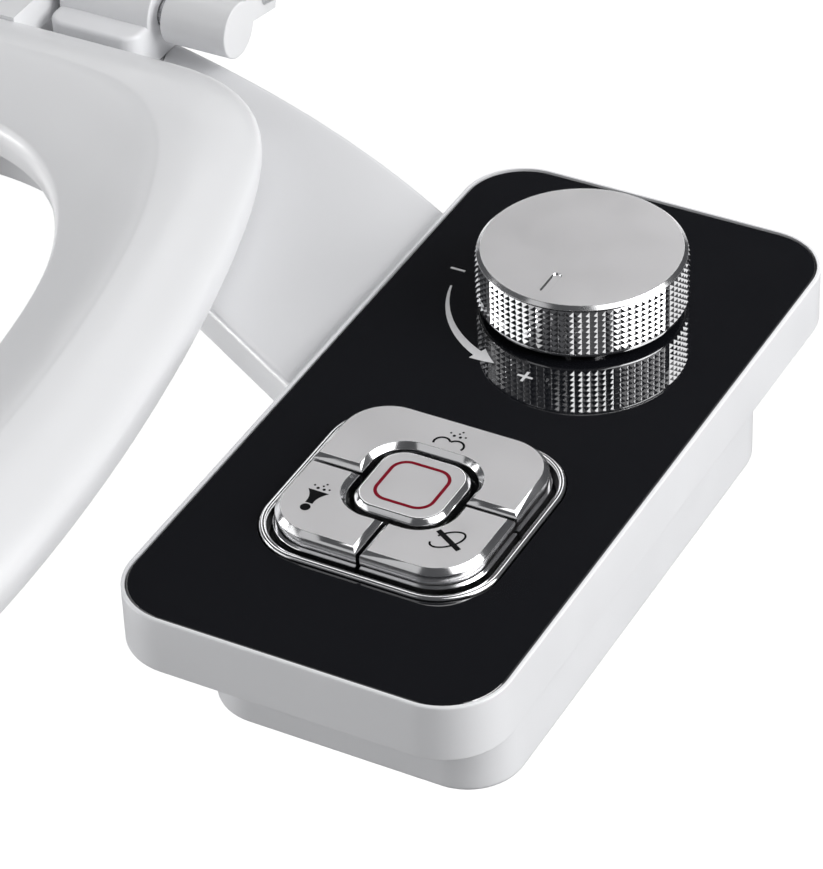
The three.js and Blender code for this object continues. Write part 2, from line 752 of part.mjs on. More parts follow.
function valveBlock() {
  const { x0, y0, x1, y1, bottom, top } = BLOCK;
  const hoseLevel = HOSE_Z - PANEL_Z;
  const body = slab(roundedBox(x0, y0, x1, y1, 4), bottom, top, 3);
  const barbs = OUTLETS.map((y) => rod(OUTLET_END, x0 + CUT, y, hoseLevel, 2.3, 12));
  const passages = OUTLETS.map((y) => rod(OUTLET_END - CUT, x0 + 8, y, hoseLevel, 1.3, 8));
  const bores = Object.values(STEMS).map(({ x, y }) => post(x, y, BORE_BOTTOM, top + CUT, 4.3, 20));
  const bossRoom = CASE_SCREWS.map(({ x, y }) => post(x, y, bottom - CUT, top + CUT, 5.7));
  return without(
    joined(body, ...barbs),
    ...passages,
    ...bores,
    ...bossRoom,
    post(KNOB.x, KNOB.y, BORE_BOTTOM, top + CUT, CARTRIDGE_RADIUS + GAP),
    bar(INLET.x, y1 - 12, y1 + CUT, INLET.z, 4, 16),
  );
}

function cartridgeBody() {
  const r = CARTRIDGE_RADIUS;
  const shaft = SPINDLE_RADIUS + GAP;
  const profile = [
    [r - 0.8, -29.7], [r, -29.7], [r, -5], [shaft, -5], [shaft, -9], [r - 0.8, -9], [r - 0.8, -29.7],
  ];
  return turned(KNOB.x, KNOB.y, profile, 32);
}

// A ceramic disc with one fan-shaped port.
function ceramicDisc(bottom) {
  const top = bottom + 2.4;
  const disc = post(KNOB.x, KNOB.y, bottom, top, 7.4, 32);
  const fan = new THREE.Shape();
  fan.absarc(KNOB.x, KNOB.y, 5.8, Math.PI * 1.1, Math.PI * 1.9);
  fan.absarc(KNOB.x, KNOB.y, 2, Math.PI * 1.9, Math.PI * 1.1, true);
  fan.closePath();
  return disc.subtract(slab(fan, bottom - CUT, top + CUT, 8));
}

function spindle() {
  const r = SPINDLE_RADIUS;
  const profile = [[0, -24], [7.3, -24], [7.3, -20], [r, -20], [r, SPINDLE_TOP], [0, SPINDLE_TOP]];
  return turned(KNOB.x, KNOB.y, profile, 24);
}

function inletFitting() {
  const hexStart = TUB.y1 + GAP;
  const hex = bar(INLET.x, hexStart, hexStart + 5, INLET.z, 9, 6);
  const nipple = bar(INLET.x, hexStart + 4, INLET.end, INLET.z, INLET.radius);
  const spigot = bar(INLET.x, BLOCK.y1 + GAP, hexStart + 1, INLET.z, INLET.radius);
  return joined(hex, nipple, spigot).subtract(bar(INLET.x, BLOCK.y1 - 2, INLET.end + CUT, INLET.z, 5));
}

add(panel, "valve_block", valveBlock(), BLOCK_PLASTIC);
add(panel, "cartridge_body", cartridgeBody(), BRASS);
add(panel, "fixed_disc", ceramicDisc(-29.5), WHITE_CERAMIC);
add(panel, "moving_disc", ceramicDisc(-26.8), WHITE_CERAMIC);
add(panel, "spindle", spindle(), BRASS);
add(panel, "inlet_fitting", inletFitting(), BRASS);

// ---------------------------------------------------------------- flow knob

const CAP_BOTTOM = KNOB.top - 1;

function knobBody() {
  const { radius, bottom } = KNOB;
  const top = CAP_BOTTOM - GAP;
  const socket = SPINDLE_RADIUS + GAP;
  const profile = [
    [0, SPINDLE_TOP + GAP], [socket, SPINDLE_TOP + GAP], [socket, bottom + 0.4], [8, bottom + 0.4],
    [8, top - 2.5], [radius - 3.5, top - 2.5], [radius - 3.5, bottom], [radius - 0.6, bottom],
    [radius, bottom + 0.6], [radius, top - 0.6], [radius - 0.6, top], [0, top],
  ];
  return turned(KNOB.x, KNOB.y, profile, 48);
}

// The cap's pointer is a slot with round ends near its front edge.
function knobCap() {
  const { x, y, radius, top } = KNOB;
  const edge = radius - 0.4;
  const profile = [[0, CAP_BOTTOM], [edge, CAP_BOTTOM], [edge, top - 0.5], [edge - 0.5, top], [0, top]];
  const slot = slab(roundedBox(x - 1.2, y - 21.5, x + 1.2, y - 12.7, 1.19), CAP_BOTTOM - CUT, top + CUT);
  return turned(x, y, profile, 48).subtract(slot);
}

add(panel, "knob_body", knobBody(), CHROME);
add(panel, "knob_cap", knobCap(), SATIN_METAL);

// ---------------------------------------------------------------- hoses

// Each hose runs from a valve block outlet along the arm, and turns into a port of the nozzle housing.
// The frontmost hose turns first, on the smallest bend.
const HOSES = [
  { name: "rear_wash_hose", step: -1, port: NOZZLE_SPREAD - 1 },
  { name: "cleaning_hose", step: 0, port: 0 },
  { name: "front_wash_hose", step: 1, port: 1 - NOZZLE_SPREAD },
];
const HOSE_LANE_Y = -31; // the middle hose beside the seat bolts

function hoseRoute(step, port) {
  const start = PANEL_X + OUTLET_END - GAP;
  const lane = HOSE_LANE_Y + step * HOSE_PITCH;
  const end = NECK.rear + GAP;
  const bend = lane - end;
  const outlet = HOSE_MIDDLE_Y + step * HOSE_PITCH;
  const points = [
    [start, outlet],
    [start - 10, outlet],
    [186, outlet + 3],
    [150, outlet + 20],
    [118, lane - 7],
    [96, lane - 1],
    [70, lane],
    [port + bend + 14, lane],
    [port + bend, lane],
    [port + bend * 0.29, lane - bend * 0.29],
    [port, end + 1],
    [port, end],
  ];
  const route = points.map(([x, y]) => new THREE.Vector3(x, y, HOSE_Z));
  return new THREE.CatmullRomCurve3(route, false, "centripetal");
}

for (const { name, step, port } of HOSES) {
  add(seat, name, tube(hoseRoute(step, port), HOSE_RADIUS, 30, 8), HOSE_PLASTIC);
}

// ---------------------------------------------------------------- nozzle unit

const NOZZLES = [
  { name: "rear_nozzle", x: NOZZLE_SPREAD },
  { name: "front_nozzle", x: -NOZZLE_SPREAD },
];
const GATE_PIVOT_Z = 0.5;
const GATE_TOP = 5.5;
const GLAND = { bottom: -57.7, top: -54 };
const COLLAR = { bottom: -6, top: -2 };

function nozzleHousing() {
  const { half, front, rear, bottom, top } = HOUSING;
  const body = softTop(roundedBox(-half, front, half, rear, 5), bottom, top, 1.5);
  const neck = block(-NECK.half, rear - CUT, NECK.z0, NECK.half, NECK.rear, NECK.z1);
  const pivots = rod(-half - 4.5, half + 4.5, NOZZLE_Y, GATE_PIVOT_Z, 2.5, 16);
  const bores = NOZZLES.map(({ x }) => post(x, NOZZLE_Y, bottom - CUT, top - 2, NOZZLE_BORE));
  const ports = HOSES.map(({ port }) => bar(port, NOZZLE_Y + 3, NECK.rear + CUT, HOSE_Z - 0.8, 1.6, 10));
  const rinse = post(0, NOZZLE_Y + 6, bottom - CUT, HOSE_Z, 1.5, 10);
  return without(joined(body, neck, pivots), ...bores, ...ports, rinse);
}

// The ring at the foot of a bore that guides its nozzle.
function nozzleGland({ x }) {
  const { bottom, top } = GLAND;
  return turned(x, NOZZLE_Y, [[3.5, bottom], [4.2, bottom], [4.2, top], [3.5, top], [3.5, bottom]], 20);
}

function nozzle({ x }) {
  const { bottom, top } = COLLAR;
  const profile = [
    [0, -67], [3, -67], [4.1, -65.5], [4.1, -58.4], [3.2, -58.4], [3.2, bottom],
    [4.2, bottom], [4.2, top], [1.6, top], [1.6, -63], [0, -63],
  ];
  return turned(x, NOZZLE_Y, profile, 20);
}

function nozzleGate() {
  const { half, front, bottom } = HOUSING;
  const inner = half + 2;
  const outer = inner + 2;
  const rear = NOZZLE_Y + 7;
  const shell = softBottom(roundedBox(-outer, front - 4.4, outer, rear + 12, 9), bottom - 2, GATE_TOP, 1);
  const room = slab(roundedBox(-inner, front - 2.4, inner, rear + 13, 7), bottom - 4, GATE_TOP + CUT);
  const behind = block(-outer - CUT, rear, bottom - 4, outer + CUT, rear + 20, GATE_TOP + CUT);
  const holes = rod(-outer - CUT, outer + CUT, NOZZLE_Y, GATE_PIVOT_Z, 2.5 + GAP, 16);
  return without(shell, room, behind, holes);
}

add(seat, "nozzle_housing", nozzleHousing(), WHITE_ABS);
for (const spray of NOZZLES) {
  add(seat, spray.name, nozzle(spray), WHITE_ABS);
  add(seat, `${spray.name}_gland`, nozzleGland(spray), BLACK_PLASTIC);
  add(
    seat, `${spray.name}_spring`,
    spring(spray.x, NOZZLE_Y, GLAND.top + GAP, COLLAR.bottom - GAP, 3.85, 0.33, 8), STEEL,
  );
}
add(seat, "nozzle_gate", nozzleGate(), SEAT_WHITE);

export default seat;
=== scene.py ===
"""The looks of a bidet seat with a side control panel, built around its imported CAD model.

Shapes are drawn in millimetres, in the CAD model's own frame, and become Blender meshes in metres.
Outlines run counter-clockwise. A profile is a list of (inset, height) or (radius, height) pairs.
"""

import json
import math

import bmesh
import bpy
from mathutils import Matrix, Vector


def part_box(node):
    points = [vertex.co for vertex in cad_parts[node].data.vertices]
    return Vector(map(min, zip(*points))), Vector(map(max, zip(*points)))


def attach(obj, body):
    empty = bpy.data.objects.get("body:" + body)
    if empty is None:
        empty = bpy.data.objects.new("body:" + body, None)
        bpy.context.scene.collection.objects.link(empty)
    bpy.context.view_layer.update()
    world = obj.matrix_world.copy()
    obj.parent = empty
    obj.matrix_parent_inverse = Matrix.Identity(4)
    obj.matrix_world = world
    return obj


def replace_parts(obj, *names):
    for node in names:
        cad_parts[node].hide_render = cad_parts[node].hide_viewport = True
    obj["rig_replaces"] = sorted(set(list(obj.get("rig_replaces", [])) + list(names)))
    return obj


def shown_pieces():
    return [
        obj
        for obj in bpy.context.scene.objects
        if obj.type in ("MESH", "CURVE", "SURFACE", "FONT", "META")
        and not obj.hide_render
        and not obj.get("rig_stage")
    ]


MM = 0.001
GAP = 0.3  # between two pieces that touch
CUT = 1  # how far a cutting tool runs past the face that it cuts

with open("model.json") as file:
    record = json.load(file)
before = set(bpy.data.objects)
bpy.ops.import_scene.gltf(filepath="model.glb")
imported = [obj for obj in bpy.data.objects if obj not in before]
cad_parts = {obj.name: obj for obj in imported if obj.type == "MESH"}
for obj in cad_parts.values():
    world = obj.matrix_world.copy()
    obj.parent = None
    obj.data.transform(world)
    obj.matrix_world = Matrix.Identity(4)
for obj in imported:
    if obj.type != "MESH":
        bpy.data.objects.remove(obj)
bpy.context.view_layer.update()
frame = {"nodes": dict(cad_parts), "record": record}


def box(node):
    """The lowest and the highest corner of a CAD node, in millimetres."""
    low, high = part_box(node)
    return low / MM, high / MM


# ---------------------------------------------------------------- outlines and profiles

QUARTER = 14  # steps in a quarter turn


def arc(x, y, radius, start, end, steps=QUARTER):
    """Points on an arc about (x, y), between two angles in degrees."""
    angles = [math.radians(start + (end - start) * i / steps) for i in range(steps + 1)]
    return [Vector((x + radius * math.cos(a), y + radius * math.sin(a))) for a in angles]


def circle(x, y, radius, sides=64):
    return arc(x, y, radius, 0, 360, sides)[:-1]


def rounded_box(x0, y0, x1, y1, corner, steps=QUARTER):
    return (
        arc(x1 - corner, y0 + corner, corner, -90, 0, steps)
        + arc(x1 - corner, y1 - corner, corner, 0, 90, steps)
        + arc(x0 + corner, y1 - corner, corner, 90, 180, steps)
        + arc(x0 + corner, y0 + corner, corner, 180, 270, steps)
    )


def rounded_square(x, y, size, corner, steps=QUARTER):
    half = size / 2
    return rounded_box(x - half, y - half, x + half, y + half, corner, steps)


def bezier(points, steps=QUARTER):
    """Points on the Bezier curve of any degree through the first and last of its control points."""
    curve = []
    for i in range(steps + 1):
        level = [Vector(p) for p in points]
        while len(level) > 1:
            level = [a.lerp(b, i / steps) for a, b in zip(level, level[1:])]
        curve.append(level[0])
    return curve


def distinct(points):
    """A closed outline without the points that repeat the one before."""
    return [p for i, p in enumerate(points) if (p - points[i - 1]).length > 0.01]


def inset(points, distance):
    """A closed counter-clockwise outline, moved inwards."""
    if not distance:
        return points
    moved = []
    for i, here in enumerate(points):
        before = (here - points[i - 1]).normalized()
        after = (points[(i + 1) % len(points)] - here).normalized()
        mitre = Vector((-before.y - after.y, before.x + after.x)) / (1 + before.dot(after))
        moved.append(here + mitre * distance)
    return moved


def soften(profile, radius, steps=3):
    """A profile with its inner corners rounded."""
    points = [Vector(p) for p in profile]
    soft = [points[0]]
    for before, here, after in zip(points, points[1:], points[2:]):
        reach = min(radius, (before - here).length / 2.1, (after - here).length / 2.1)
        start = here + (before - here).normalized() * reach
        end = here + (after - here).normalized() * reach
        soft += bezier([start, here, end], steps)
    return soft + [points[-1]]


def through(points, steps=4):
    """A smooth curve through the points."""
    knots = [Vector(p) for p in points]
    curve = [knots[0]]
    for i in range(len(knots) - 1):
        p0, p1, p2, p3 = knots[max(i - 1, 0)], knots[i], knots[i + 1], knots[min(i + 2, len(knots) - 1)]
        curve += bezier([p1, p1 + (p2 - p0) / 6, p2 - (p3 - p1) / 6, p2], steps)[1:]
    return curve


# ---------------------------------------------------------------- solids


def solid(verts, faces):
    """A closed body from points in millimetres."""
    mesh = bpy.data.meshes.new("body")
    mesh.from_pydata([Vector(v) * MM for v in verts], [], faces)
    work = bmesh.new()
    work.from_mesh(mesh)
    bmesh.ops.recalc_face_normals(work, faces=work.faces)
    work.to_mesh(mesh)
    work.free()
    body = bpy.data.objects.new("body", mesh)
    bpy.context.scene.collection.objects.link(body)
    return body


def stack(rings, closed=False):
    """The body through rings of points, with flat ends unless it comes back to its first ring."""
    count = len(rings[0])
    levels = len(rings)
    faces = []
    for low in range(levels if closed else levels - 1):
        high = (low + 1) % levels
        for i in range(count):
            j = (i + 1) % count
            faces.append((low * count + i, low * count + j, high * count + j, high * count + i))
    if not closed:
        faces.append(tuple(range(count)))
        faces.append(tuple(range((levels - 1) * count, levels * count)))
    return solid([point for ring in rings for point in ring], faces)


def loft(outline, profile, closed=False):
    """An outline drawn at each (inset, height) of a profile."""
    return stack([[(p.x, p.y, z) for p in inset(outline, d)] for d, z in profile], closed)


def turned(x, y, profile, sides=64, closed=False):
    """A body of revolution about the vertical line through (x, y), from (radius, height) pairs."""
    return stack([[(p.x, p.y, z) for p in circle(x, y, r, sides)] for r, z in profile], closed)


def slab(outline, bottom, top, soft=0.0):
    """A plate whose edges are rounded by a small radius."""
    if not soft:
        return loft(outline, [(0, bottom), (0, top)])
    return loft(outline, soften([(soft, bottom), (0, bottom), (0, top), (soft, top)], soft))


def block(x0, y0, z0, x1, y1, z1):
    return slab([Vector(p) for p in ((x0, y0), (x1, y0), (x1, y1), (x0, y1))], z0, z1)


def post(x, y, bottom, top, radius, soft=0.0, sides=48):
    return slab(circle(x, y, radius, sides), bottom, top, soft)


def placed(body, matrix):
    """Moves a body, about the origin of the frame, with lengths in millimetres."""
    matrix = matrix.copy()
    matrix.translation *= MM
    body.data.transform(matrix)
    return body


def along_x(body, y, z):
    """Lays a body that stands on the Z axis along X, through (y, z)."""
    return placed(body, Matrix.Translation((0, y, z)) @ Matrix.Rotation(math.radians(90), 4, "Y"))


def along_y(body, x, z):
    """Lays a body that stands on the Z axis along Y, through (x, z)."""
    return placed(body, Matrix.Translation((x, 0, z)) @ Matrix.Rotation(math.radians(-90), 4, "X"))


def rod(x0, x1, y, z, radius, soft=0.0):
    return along_x(post(0, 0, x0, x1, radius, soft), y, z)


def bar(x, y0, y1, z, radius, soft=0.0):
    return along_y(post(0, 0, y0, y1, radius, soft), x, z)


def apply_modifiers(body):
    graph = bpy.context.evaluated_depsgraph_get()
    mesh = bpy.data.meshes.new_from_object(body.evaluated_get(graph))
    body.modifiers.clear()
    body.data = mesh


def combine(body, operation, others):
    for other in others:
        modifier = body.modifiers.new(operation, "BOOLEAN")
        modifier.operation = operation
        modifier.solver = "EXACT"
        modifier.object = other
    apply_modifiers(body)
    for other in others:
        bpy.data.objects.remove(other)
    return body


def joined(body, *others):
    return combine(body, "UNION", others)


def without(body, *tools):
    return combine(body, "DIFFERENCE", tools)


def tube(points, radius, steps=10, sides=12):
    """A round tube with flat ends along a smooth curve."""
    route = through(points, steps)
    rings = []
    side = None
    for i, here in enumerate(route):
        ahead = (route[min(i + 1, len(route) - 1)] - route[max(i - 1, 0)]).normalized()
        side = (side or ahead.orthogonal()) - ahead * ahead.dot(side or ahead.orthogonal())
        side.normalize()
        other = ahead.cross(side)
        turns = [math.tau * k / sides for k in range(sides)]
        rings.append([here + radius * (side * math.cos(a) + other * math.sin(a)) for a in turns])
    return stack(rings)


# ---------------------------------------------------------------- materials


def plain(name, color, roughness, **sockets):
    """A material with one Principled shader. A socket's name is given with _ for each space."""
    material = bpy.data.materials.new(name)
    material.use_nodes = True
    shader = material.node_tree.nodes["Principled BSDF"]
    shader.inputs["Base Color"].default_value = (*color, 1)
    shader.inputs["Roughness"].default_value = roughness
    for socket, value in sockets.items():
        shader.inputs[socket.replace("_", " ")].default_value = value
    return material


def node(material, kind, **links):
    made = material.node_tree.nodes.new(kind)
    for socket, value in links.items():
        target = made.inputs[socket.replace("_", " ")]
        if isinstance(value, bpy.types.NodeSocket):
            material.node_tree.links.new(value, target)
        else:
            target.default_value = value
    return made


def noise(material, size, detail=3.0, stretch=(1, 1, 1)):
    """Noise in the piece's own coordinates, with features of about a size in millimetres."""
    coordinates = node(material, "ShaderNodeTexCoord").outputs["Object"]
    mapping = node(material, "ShaderNodeMapping", Vector=coordinates, Scale=stretch)
    texture = node(
        material, "ShaderNodeTexNoise", Vector=mapping.outputs[0], Scale=1 / (size * MM), Detail=detail,
    )
    return texture.outputs["Factor"] if "Factor" in texture.outputs else texture.outputs[0]


def spread(material, source, low, high):
    """A number that follows a noise between two values."""
    made = node(
        material, "ShaderNodeMapRange", Value=source, From_Min=0.3, From_Max=0.7, To_Min=low, To_Max=high,
    )
    return made.outputs[0]


def tint(material, source, light, dark):
    """Colours the base between two tones."""
    mix = material.node_tree.nodes.new("ShaderNodeMix")
    mix.data_type = "RGBA"
    mix.inputs[6].default_value = (*light, 1)
    mix.inputs[7].default_value = (*dark, 1)
    material.node_tree.links.new(source, mix.inputs[0])
    shader = material.node_tree.nodes["Principled BSDF"]
    material.node_tree.links.new(mix.outputs[2], shader.inputs["Base Color"])


def shine(material, source, low, high):
    """Varies the roughness between two values."""
    shader = material.node_tree.nodes["Principled BSDF"]
    material.node_tree.links.new(spread(material, source, low, high), shader.inputs["Roughness"])


def relief(material, source, height, strength=1.0):
    """Raises and lowers the surface by a height in millimetres."""
    bump = node(material, "ShaderNodeBump", Height=source, Distance=height * MM, Strength=strength)
    shader = material.node_tree.nodes["Principled BSDF"]
    material.node_tree.links.new(bump.outputs[0], shader.inputs["Normal"])


def shaded(color, factor):
    return tuple(channel * factor for channel in color)


def moulded(name, color, roughness, coat=0.0, grain=0.35, depth=0.004, tone=0.965):
    """Moulded plastic: a faint mottle, uneven gloss and a fine grain."""
    material = plain(name, color, roughness, Coat_Weight=coat, Coat_Roughness=0.06)
    tint(material, noise(material, 55), color, shaded(color, tone))
    shine(material, noise(material, 18), roughness * 0.85, roughness * 1.15)
    relief(material, noise(material, grain), depth)
    return material


def metal(name, color, low, high, size=0.15, depth=0.001, stretch=(1, 1, 1)):
    material = plain(name, color, low, Metallic=1.0)
    tint(material, noise(material, 30), color, shaded(color, 0.94))
    shine(material, noise(material, 9, stretch=stretch), low, high)
    relief(material, noise(material, size, stretch=stretch), depth)
    return material


def dark_glass():
    """Back-painted glass: a deep bluish black with the faintest smears."""
    material = plain("dark_glass", (0.006, 0.0065, 0.0085), 0.02, IOR=2.2)
    tint(material, noise(material, 70), (0.006, 0.0065, 0.0085), (0.008, 0.0085, 0.0105))
    shine(material, noise(material, 25, detail=5), 0.015, 0.05)
    return material


LOOKS = {
    "white_abs": moulded("white_shell", (0.86, 0.864, 0.88), 0.36, coat=0.1),
    "seat_white": moulded("white_seat", (0.85, 0.854, 0.866), 0.36, coat=0.1, grain=1.2, depth=0.003),
    "nozzle_white": moulded("white_nozzle", (0.79, 0.794, 0.806), 0.3, coat=0.1),
    "black_glass": dark_glass(),
    "satin_metal": metal("satin_metal", (0.84, 0.83, 0.84), 0.40, 0.46, size=0.12, depth=0.0012),
    "chrome": metal("polished_metal", (0.86, 0.86, 0.87), 0.13, 0.17, size=2.5, depth=0.0002),
    "black_plastic": moulded("black_plastic", (0.012, 0.012, 0.014), 0.45, grain=0.25, tone=0.7),
    "steel": metal(
        "stainless_steel", (0.62, 0.62, 0.63), 0.22, 0.34, size=0.2, depth=0.002, stretch=(1, 1, 8)
    ),
    "brass": metal("turned_brass", (0.72, 0.55, 0.28), 0.2, 0.32, size=0.2, depth=0.002, stretch=(1, 8, 1)),
    "white_ceramic": moulded("ceramic", (0.84, 0.83, 0.79), 0.2, coat=0.2, grain=0.6, depth=0.001),
    "grey_rubber": moulded("grey_rubber", (0.26, 0.27, 0.285), 0.75, grain=0.4, depth=0.02, tone=0.85),
    "hose_plastic": moulded("hose_plastic", (0.66, 0.70, 0.73), 0.38, grain=0.8, depth=0.004),
    "block_plastic": moulded("block_plastic", (0.45, 0.48, 0.51), 0.5, grain=0.3, depth=0.01, tone=0.9),
}
KNURLED = metal("knurled_metal", (0.84, 0.84, 0.85), 0.04, 0.07, size=2.5, depth=0.0002)
WHITE_PRINT = moulded("white_print", (0.78, 0.78, 0.79), 0.5, grain=0.1, depth=0.002)
BLACK_PRINT = moulded("black_print", (0.004, 0.004, 0.005), 0.7, grain=0.1, depth=0.002, tone=0.8)
RED_PRINT = moulded("red_print", (0.22, 0.002, 0.014), 0.7, grain=0.1, depth=0.002, tone=0.8)
for ink in (BLACK_PRINT, RED_PRINT):
    ink.node_tree.nodes["Principled BSDF"].inputs["Specular IOR Level"].default_value = 0.1

# ---------------------------------------------------------------- finishing a piece

SHARP = math.radians(38)


def smooth(body):
    """Shades round surfaces smoothly, and keeps flat ones flat."""
    body.data.shade_smooth()
    body.data.set_sharp_from_angle(angle=SHARP)
    weighted = body.modifiers.new("weighted", "WEIGHTED_NORMAL")
    weighted.keep_sharp = True
    apply_modifiers(body)


def piece(body, name, slot, rides="frame", stands_for=(), look=None):
    """Names a finished body, and gives it its material and the CAD body that it moves with."""
    smooth(body)
    body.name = name
    body.data.name = name
    body.data.materials.clear()
    body.data.materials.append(look or LOOKS[slot])
    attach(body, rides)
    if stands_for:
        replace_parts(body, *stands_for)
    return body


# ---------------------------------------------------------------- camera, lights and floor

GLASS_LOW, GLASS_HIGH = box("panel_glass")
GLASS_MIDDLE = (GLASS_LOW + GLASS_HIGH) / 2
CAMERA_AZIMUTH, CAMERA_ELEVATION, CAMERA_ROLL = math.radians(29.41), math.radians(37.51), math.radians(-2.41)


def camera():
    """A long lens from the front right, aimed near the middle of the panel's glass."""
    distance = 0.9647
    target = Vector((GLASS_MIDDLE.x - 12.7, GLASS_MIDDLE.y - 14.2, GLASS_HIGH.z)) * MM
    turn = Matrix.Rotation(CAMERA_AZIMUTH, 4, "Z")
    tilt = Matrix.Rotation(math.pi / 2 - CAMERA_ELEVATION, 4, "X")
    turn = turn @ tilt @ Matrix.Rotation(CAMERA_ROLL, 4, "Z")
    back = turn @ Vector((0, 0, 1))
    data = bpy.data.cameras.new("camera")
    data.lens = 168.98
    made = bpy.data.objects.new("camera", data)
    made.matrix_world = Matrix.Translation(target + back * distance) @ turn
    bpy.context.scene.collection.objects.link(made)
    bpy.context.scene.camera = made


def softbox(name, place, aim, width, height, radiance):
    """A rectangular light of an even brightness."""
    data = bpy.data.lights.new(name, "AREA")
    data.shape = "RECTANGLE"
    data.size = width
    data.size_y = height
    data.energy = radiance * math.pi * width * height
    made = bpy.data.objects.new(name, data)
    made.location = place
    made.rotation_euler = (Vector(aim) - Vector(place)).to_track_quat("-Z", "Y").to_euler()
    bpy.context.scene.collection.objects.link(made)


def dark_card(name, place, facing, size, **hidden_from):
    """A square black card that the camera doesn't see, and that throws no shadow."""
    half = size / 2 / MM
    made = block(-half, -half, -5, half, half, 0)
    made.name = name
    turn = Vector(facing).to_track_quat("Z", "Y").to_matrix().to_4x4()
    made.data.transform(Matrix.Translation(place) @ turn)
    made.visible_camera = False
    made.visible_shadow = False
    for ray, hidden in hidden_from.items():
        setattr(made, f"visible_{ray}", not hidden)
    made.data.materials.append(plain(name, (0.01, 0.01, 0.012), 0.9))
    made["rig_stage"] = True


def toward(azimuth, elevation):
    """A direction, from angles in degrees."""
    level = math.cos(math.radians(elevation))
    azimuth = math.radians(azimuth)
    return Vector((level * math.cos(azimuth), level * math.sin(azimuth), math.sin(math.radians(elevation))))


def lights():
    middle = GLASS_MIDDLE * MM
    for name, azimuth, elevation, distance, width, height, radiance in (
        ("right_light", 10, 31, 1.5, 1.2, 0.9, 5.8),
        ("top_light", -5, 58, 1.8, 1.3, 1.2, 1.9),
        ("left_light", 195, 14, 1.4, 0.4, 0.6, 4),
        ("low_left_light", 201, -9, 1.2, 0.5, 0.25, 14),
        ("front_left_light", 222, 24, 1.4, 0.7, 0.5, 1.2),
        ("front_light", 240, 45, 1.5, 0.5, 0.5, 0.5),
        ("back_light", 119, 37.5, 2.2, 2.0, 2.0, 1.5),
    ):
        softbox(name, middle + toward(azimuth, elevation) * distance, middle, width, height, radiance)
    mirror_way = toward(119, 37.5)
    dark_card("glass_card", middle + mirror_way * 1.5, mirror_way, 0.62, diffuse=True)
    dark_card("under_card", (0.2, -0.1, -0.41), (0, 0, -1), 1.4, glossy=False)
    world = bpy.data.worlds.new("world")
    world.use_nodes = True
    world.node_tree.nodes["Background"].inputs["Color"].default_value = (0.08, 0.081, 0.085, 1)
    bpy.context.scene.world = world


def floor():
    """A plain pale floor, well below the seat, which hangs on a bowl."""
    reach = 6000
    made = block(-reach, -reach, -440, reach, reach, -430)
    made.name = "floor"
    pale = plain("pale_floor", (0.92, 0.92, 0.92), 0.9, Emission_Strength=0.45)
    pale.node_tree.nodes["Principled BSDF"].inputs["Emission Color"].default_value = (1, 1, 1, 1)
    made.data.materials.append(pale)
    made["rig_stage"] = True


bpy.context.scene.view_settings.view_transform = "Standard"
camera()
lights()
floor()

# ---------------------------------------------------------------- panel casing

SHELL_DEPTH = 15
SHELL_WALL = 2.4
GLASS_THICKNESS = 2
GLASS_CORNER = 15.3
GLASS_Z = GLASS_HIGH.z
PLATE_TOP = GLASS_Z - 2.3
PLATE_BOTTOM = GLASS_Z - 4.5
SHELL_BOTTOM = GLASS_Z - SHELL_DEPTH
RIM = GLASS_LOW.x - box("panel_shell")[0].x  # width of the white edge round the glass

BEZEL_LOW, BEZEL_HIGH = box("key_bezel")
KEYPAD = (BEZEL_LOW + BEZEL_HIGH) / 2
BEZEL_SIZE = BEZEL_HIGH.x - BEZEL_LOW.x
BEZEL_CORNER = 15.2
KNOB_LOW, KNOB_HIGH = box("knob_body")
KNOB = (KNOB_LOW + KNOB_HIGH) / 2

# The tub under the shell, from the glass's front left corner.
TUB_X0, TUB_Y0 = GLASS_LOW.x + 15.8, GLASS_LOW.y + 11
TUB_X1, TUB_Y1 = GLASS_LOW.x + 93.8, GLASS_LOW.y + 161.5
TUB_CORNER = 14
TUB_WALL = 2.2
TUB_BOTTOM = box("lower_case")[0].z
PILLAR_TOP = GLASS_Z - 30

SCREWS = [(box(f"case_screw_{i}")[0] + box(f"case_screw_{i}")[1]) / 2 for i in (1, 2, 3, 4)]


def panel_outline(grow):
    corner = GLASS_CORNER + grow
    return rounded_box(
        GLASS_LOW.x - grow, GLASS_LOW.y - grow, GLASS_HIGH.x + grow, GLASS_HIGH.y + grow, corner,
    )


def panel_shell():
    """The upper casing: a deep rim, a plate under the glass, and bosses for the screws."""
    rim = soften([(0.8, SHELL_BOTTOM), (0, SHELL_BOTTOM), (0, GLASS_Z + 0.3), (RIM, GLASS_Z + 0.3)], 0.8, 5)
    body = loft(panel_outline(RIM), rim)
    pocket = slab(panel_outline(GAP), PLATE_TOP, GLASS_Z + CUT)
    hollow = slab(panel_outline(RIM - SHELL_WALL), SHELL_BOTTOM - CUT, PLATE_BOTTOM)
    body = without(body, pocket, hollow)
    body = joined(body, *[post(s.x, s.y, PILLAR_TOP + GAP, PLATE_BOTTOM + 0.5, 4) for s in SCREWS])
    holes = [post(s.x, s.y, PILLAR_TOP - CUT, GLASS_Z - 7, 1.8) for s in SCREWS]
    key_hole = rounded_square(KEYPAD.x, KEYPAD.y, BEZEL_SIZE + 1.4, BEZEL_CORNER + 0.8)
    holes.append(slab(key_hole, PLATE_BOTTOM - CUT, PLATE_TOP + CUT))
    holes.append(post(KNOB.x, KNOB.y, PLATE_BOTTOM - CUT, PLATE_TOP + CUT, 7))
    left = GLASS_LOW.x - RIM - CUT
    for y0, y1, top in [(-100, -87, 8.1), (-53, -40, 8.1), (-83.7, -56.3, 8.2)]:
        holes.append(block(left, y0 - GAP, SHELL_BOTTOM - CUT, GLASS_LOW.x + SHELL_WALL, y1 + GAP, top))
    return without(body, *holes)


